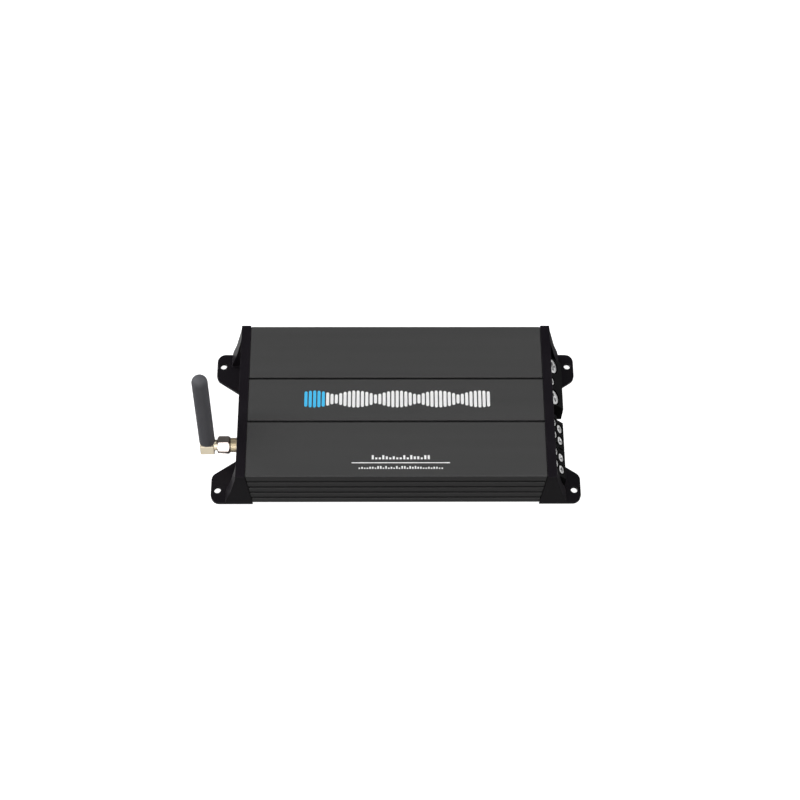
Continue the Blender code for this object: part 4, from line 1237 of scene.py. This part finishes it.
def make_dome():
    mesh_bm = bmesh.new()
    bmesh.ops.create_uvsphere(mesh_bm, u_segments=64, v_segments=32, radius=DOME_RADIUS)
    low = [v for v in mesh_bm.verts if v.co.z < -0.01]
    bmesh.ops.delete(mesh_bm, geom=low, context="VERTS")
    bmesh.ops.reverse_faces(mesh_bm, faces=mesh_bm.faces)
    return as_object("backdrop", mesh_bm)


def make_floor():
    mesh_bm = bmesh.new()
    bmesh.ops.create_grid(mesh_bm, x_segments=1, y_segments=1, size=DOME_RADIUS)
    return as_object("floor", mesh_bm)


def make_stage():
    paper = floor_material()
    for obj in (make_floor(), make_dome()):
        obj.location.z = FLOOR_Z
        obj.data.materials.append(paper)
        obj.visible_diffuse = False
        obj.visible_glossy = False
        obj.visible_shadow = False
    world = bpy.data.worlds.new("studio")
    bpy.context.scene.world = world
    world.use_nodes = True
    world.node_tree.nodes["Background"].inputs["Color"].default_value = (1, 1, 1, 1)
    world.node_tree.nodes["Background"].inputs["Strength"].default_value = WORLD_STRENGTH
    for name, (toward, power, spread) in SUNS.items():
        sun(name, toward, power, spread)
    for name, (toward, power, spread) in CARDS.items():
        card(name, toward, power, spread)


def floor_material():
    material = bpy.data.materials.new("floor")
    material.use_nodes = True
    nodes = material.node_tree.nodes
    links = material.node_tree.links
    shader = nodes["Principled BSDF"]
    place = nodes.new("ShaderNodeTexCoord")
    clouds = noise(nodes, links, place.outputs["Object"], 3, 2)
    blend = nodes.new("ShaderNodeMix")
    blend.data_type = "RGBA"
    blend.inputs["A"].default_value = (0.5, 0.5, 0.5, 1)
    blend.inputs["B"].default_value = (0.52, 0.52, 0.52, 1)
    links.new(clouds, blend.inputs["Factor"])
    links.new(blend.outputs["Result"], shader.inputs["Base Color"])
    shader.inputs["Roughness"].default_value = 0.9
    shader.inputs["Specular IOR Level"].default_value = 0.1
    shader.inputs["Emission Color"].default_value = (1, 1, 1, 1)
    shader.inputs["Emission Strength"].default_value = 1.0
    return material


def make_camera():
    sin_e, cos_e = math.sin(CAMERA_ELEVATION), math.cos(CAMERA_ELEVATION)
    sin_y, cos_y = math.sin(CAMERA_YAW), math.cos(CAMERA_YAW)
    back = Vector((sin_y * cos_e, -cos_y * cos_e, sin_e))
    level = (-back).cross(Vector((0, 0, 1))).normalized()
    rise = level.cross(-back)
    right = level * math.cos(CAMERA_ROLL) + rise * math.sin(CAMERA_ROLL)
    up = rise * math.cos(CAMERA_ROLL) - level * math.sin(CAMERA_ROLL)
    data = bpy.data.cameras.new("camera")
    data.lens = CAMERA_LENS
    data.sensor_width = 36
    data.clip_start = 0.01
    camera = bpy.data.objects.new("camera", data)
    bpy.context.scene.collection.objects.link(camera)
    camera.matrix_world = Matrix.Translation(CAMERA_PLACE) @ Matrix((right, up, back)).transposed().to_4x4()
    bpy.context.scene.camera = camera


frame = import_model()
NODES = frame["nodes"]
JOINTS = frame["joints"]
BODIES = frame["record"]["behaviour"]["bodies"]
SWITCHES = ("crossover_switch_front", "crossover_switch_rear")
PANEL_FACE = -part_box("left_panel")[0].x
BASE_SCREWS = sorted(node for node in NODES if node.startswith(("frame_screw", "plate_screw")))

make_heatsink()
make_end_frame("left_end_frame", -1)
make_end_frame("right_end_frame", 1)
make_plate()
make_terminals()
make_fuse()
make_antenna()
make_knobs()
make_switches()
make_light()
make_sockets()
make_panels()
make_marks()
dress_inner_nodes()
make_stage()
make_camera()
bpy.context.scene.view_settings.view_transform = "Standard"
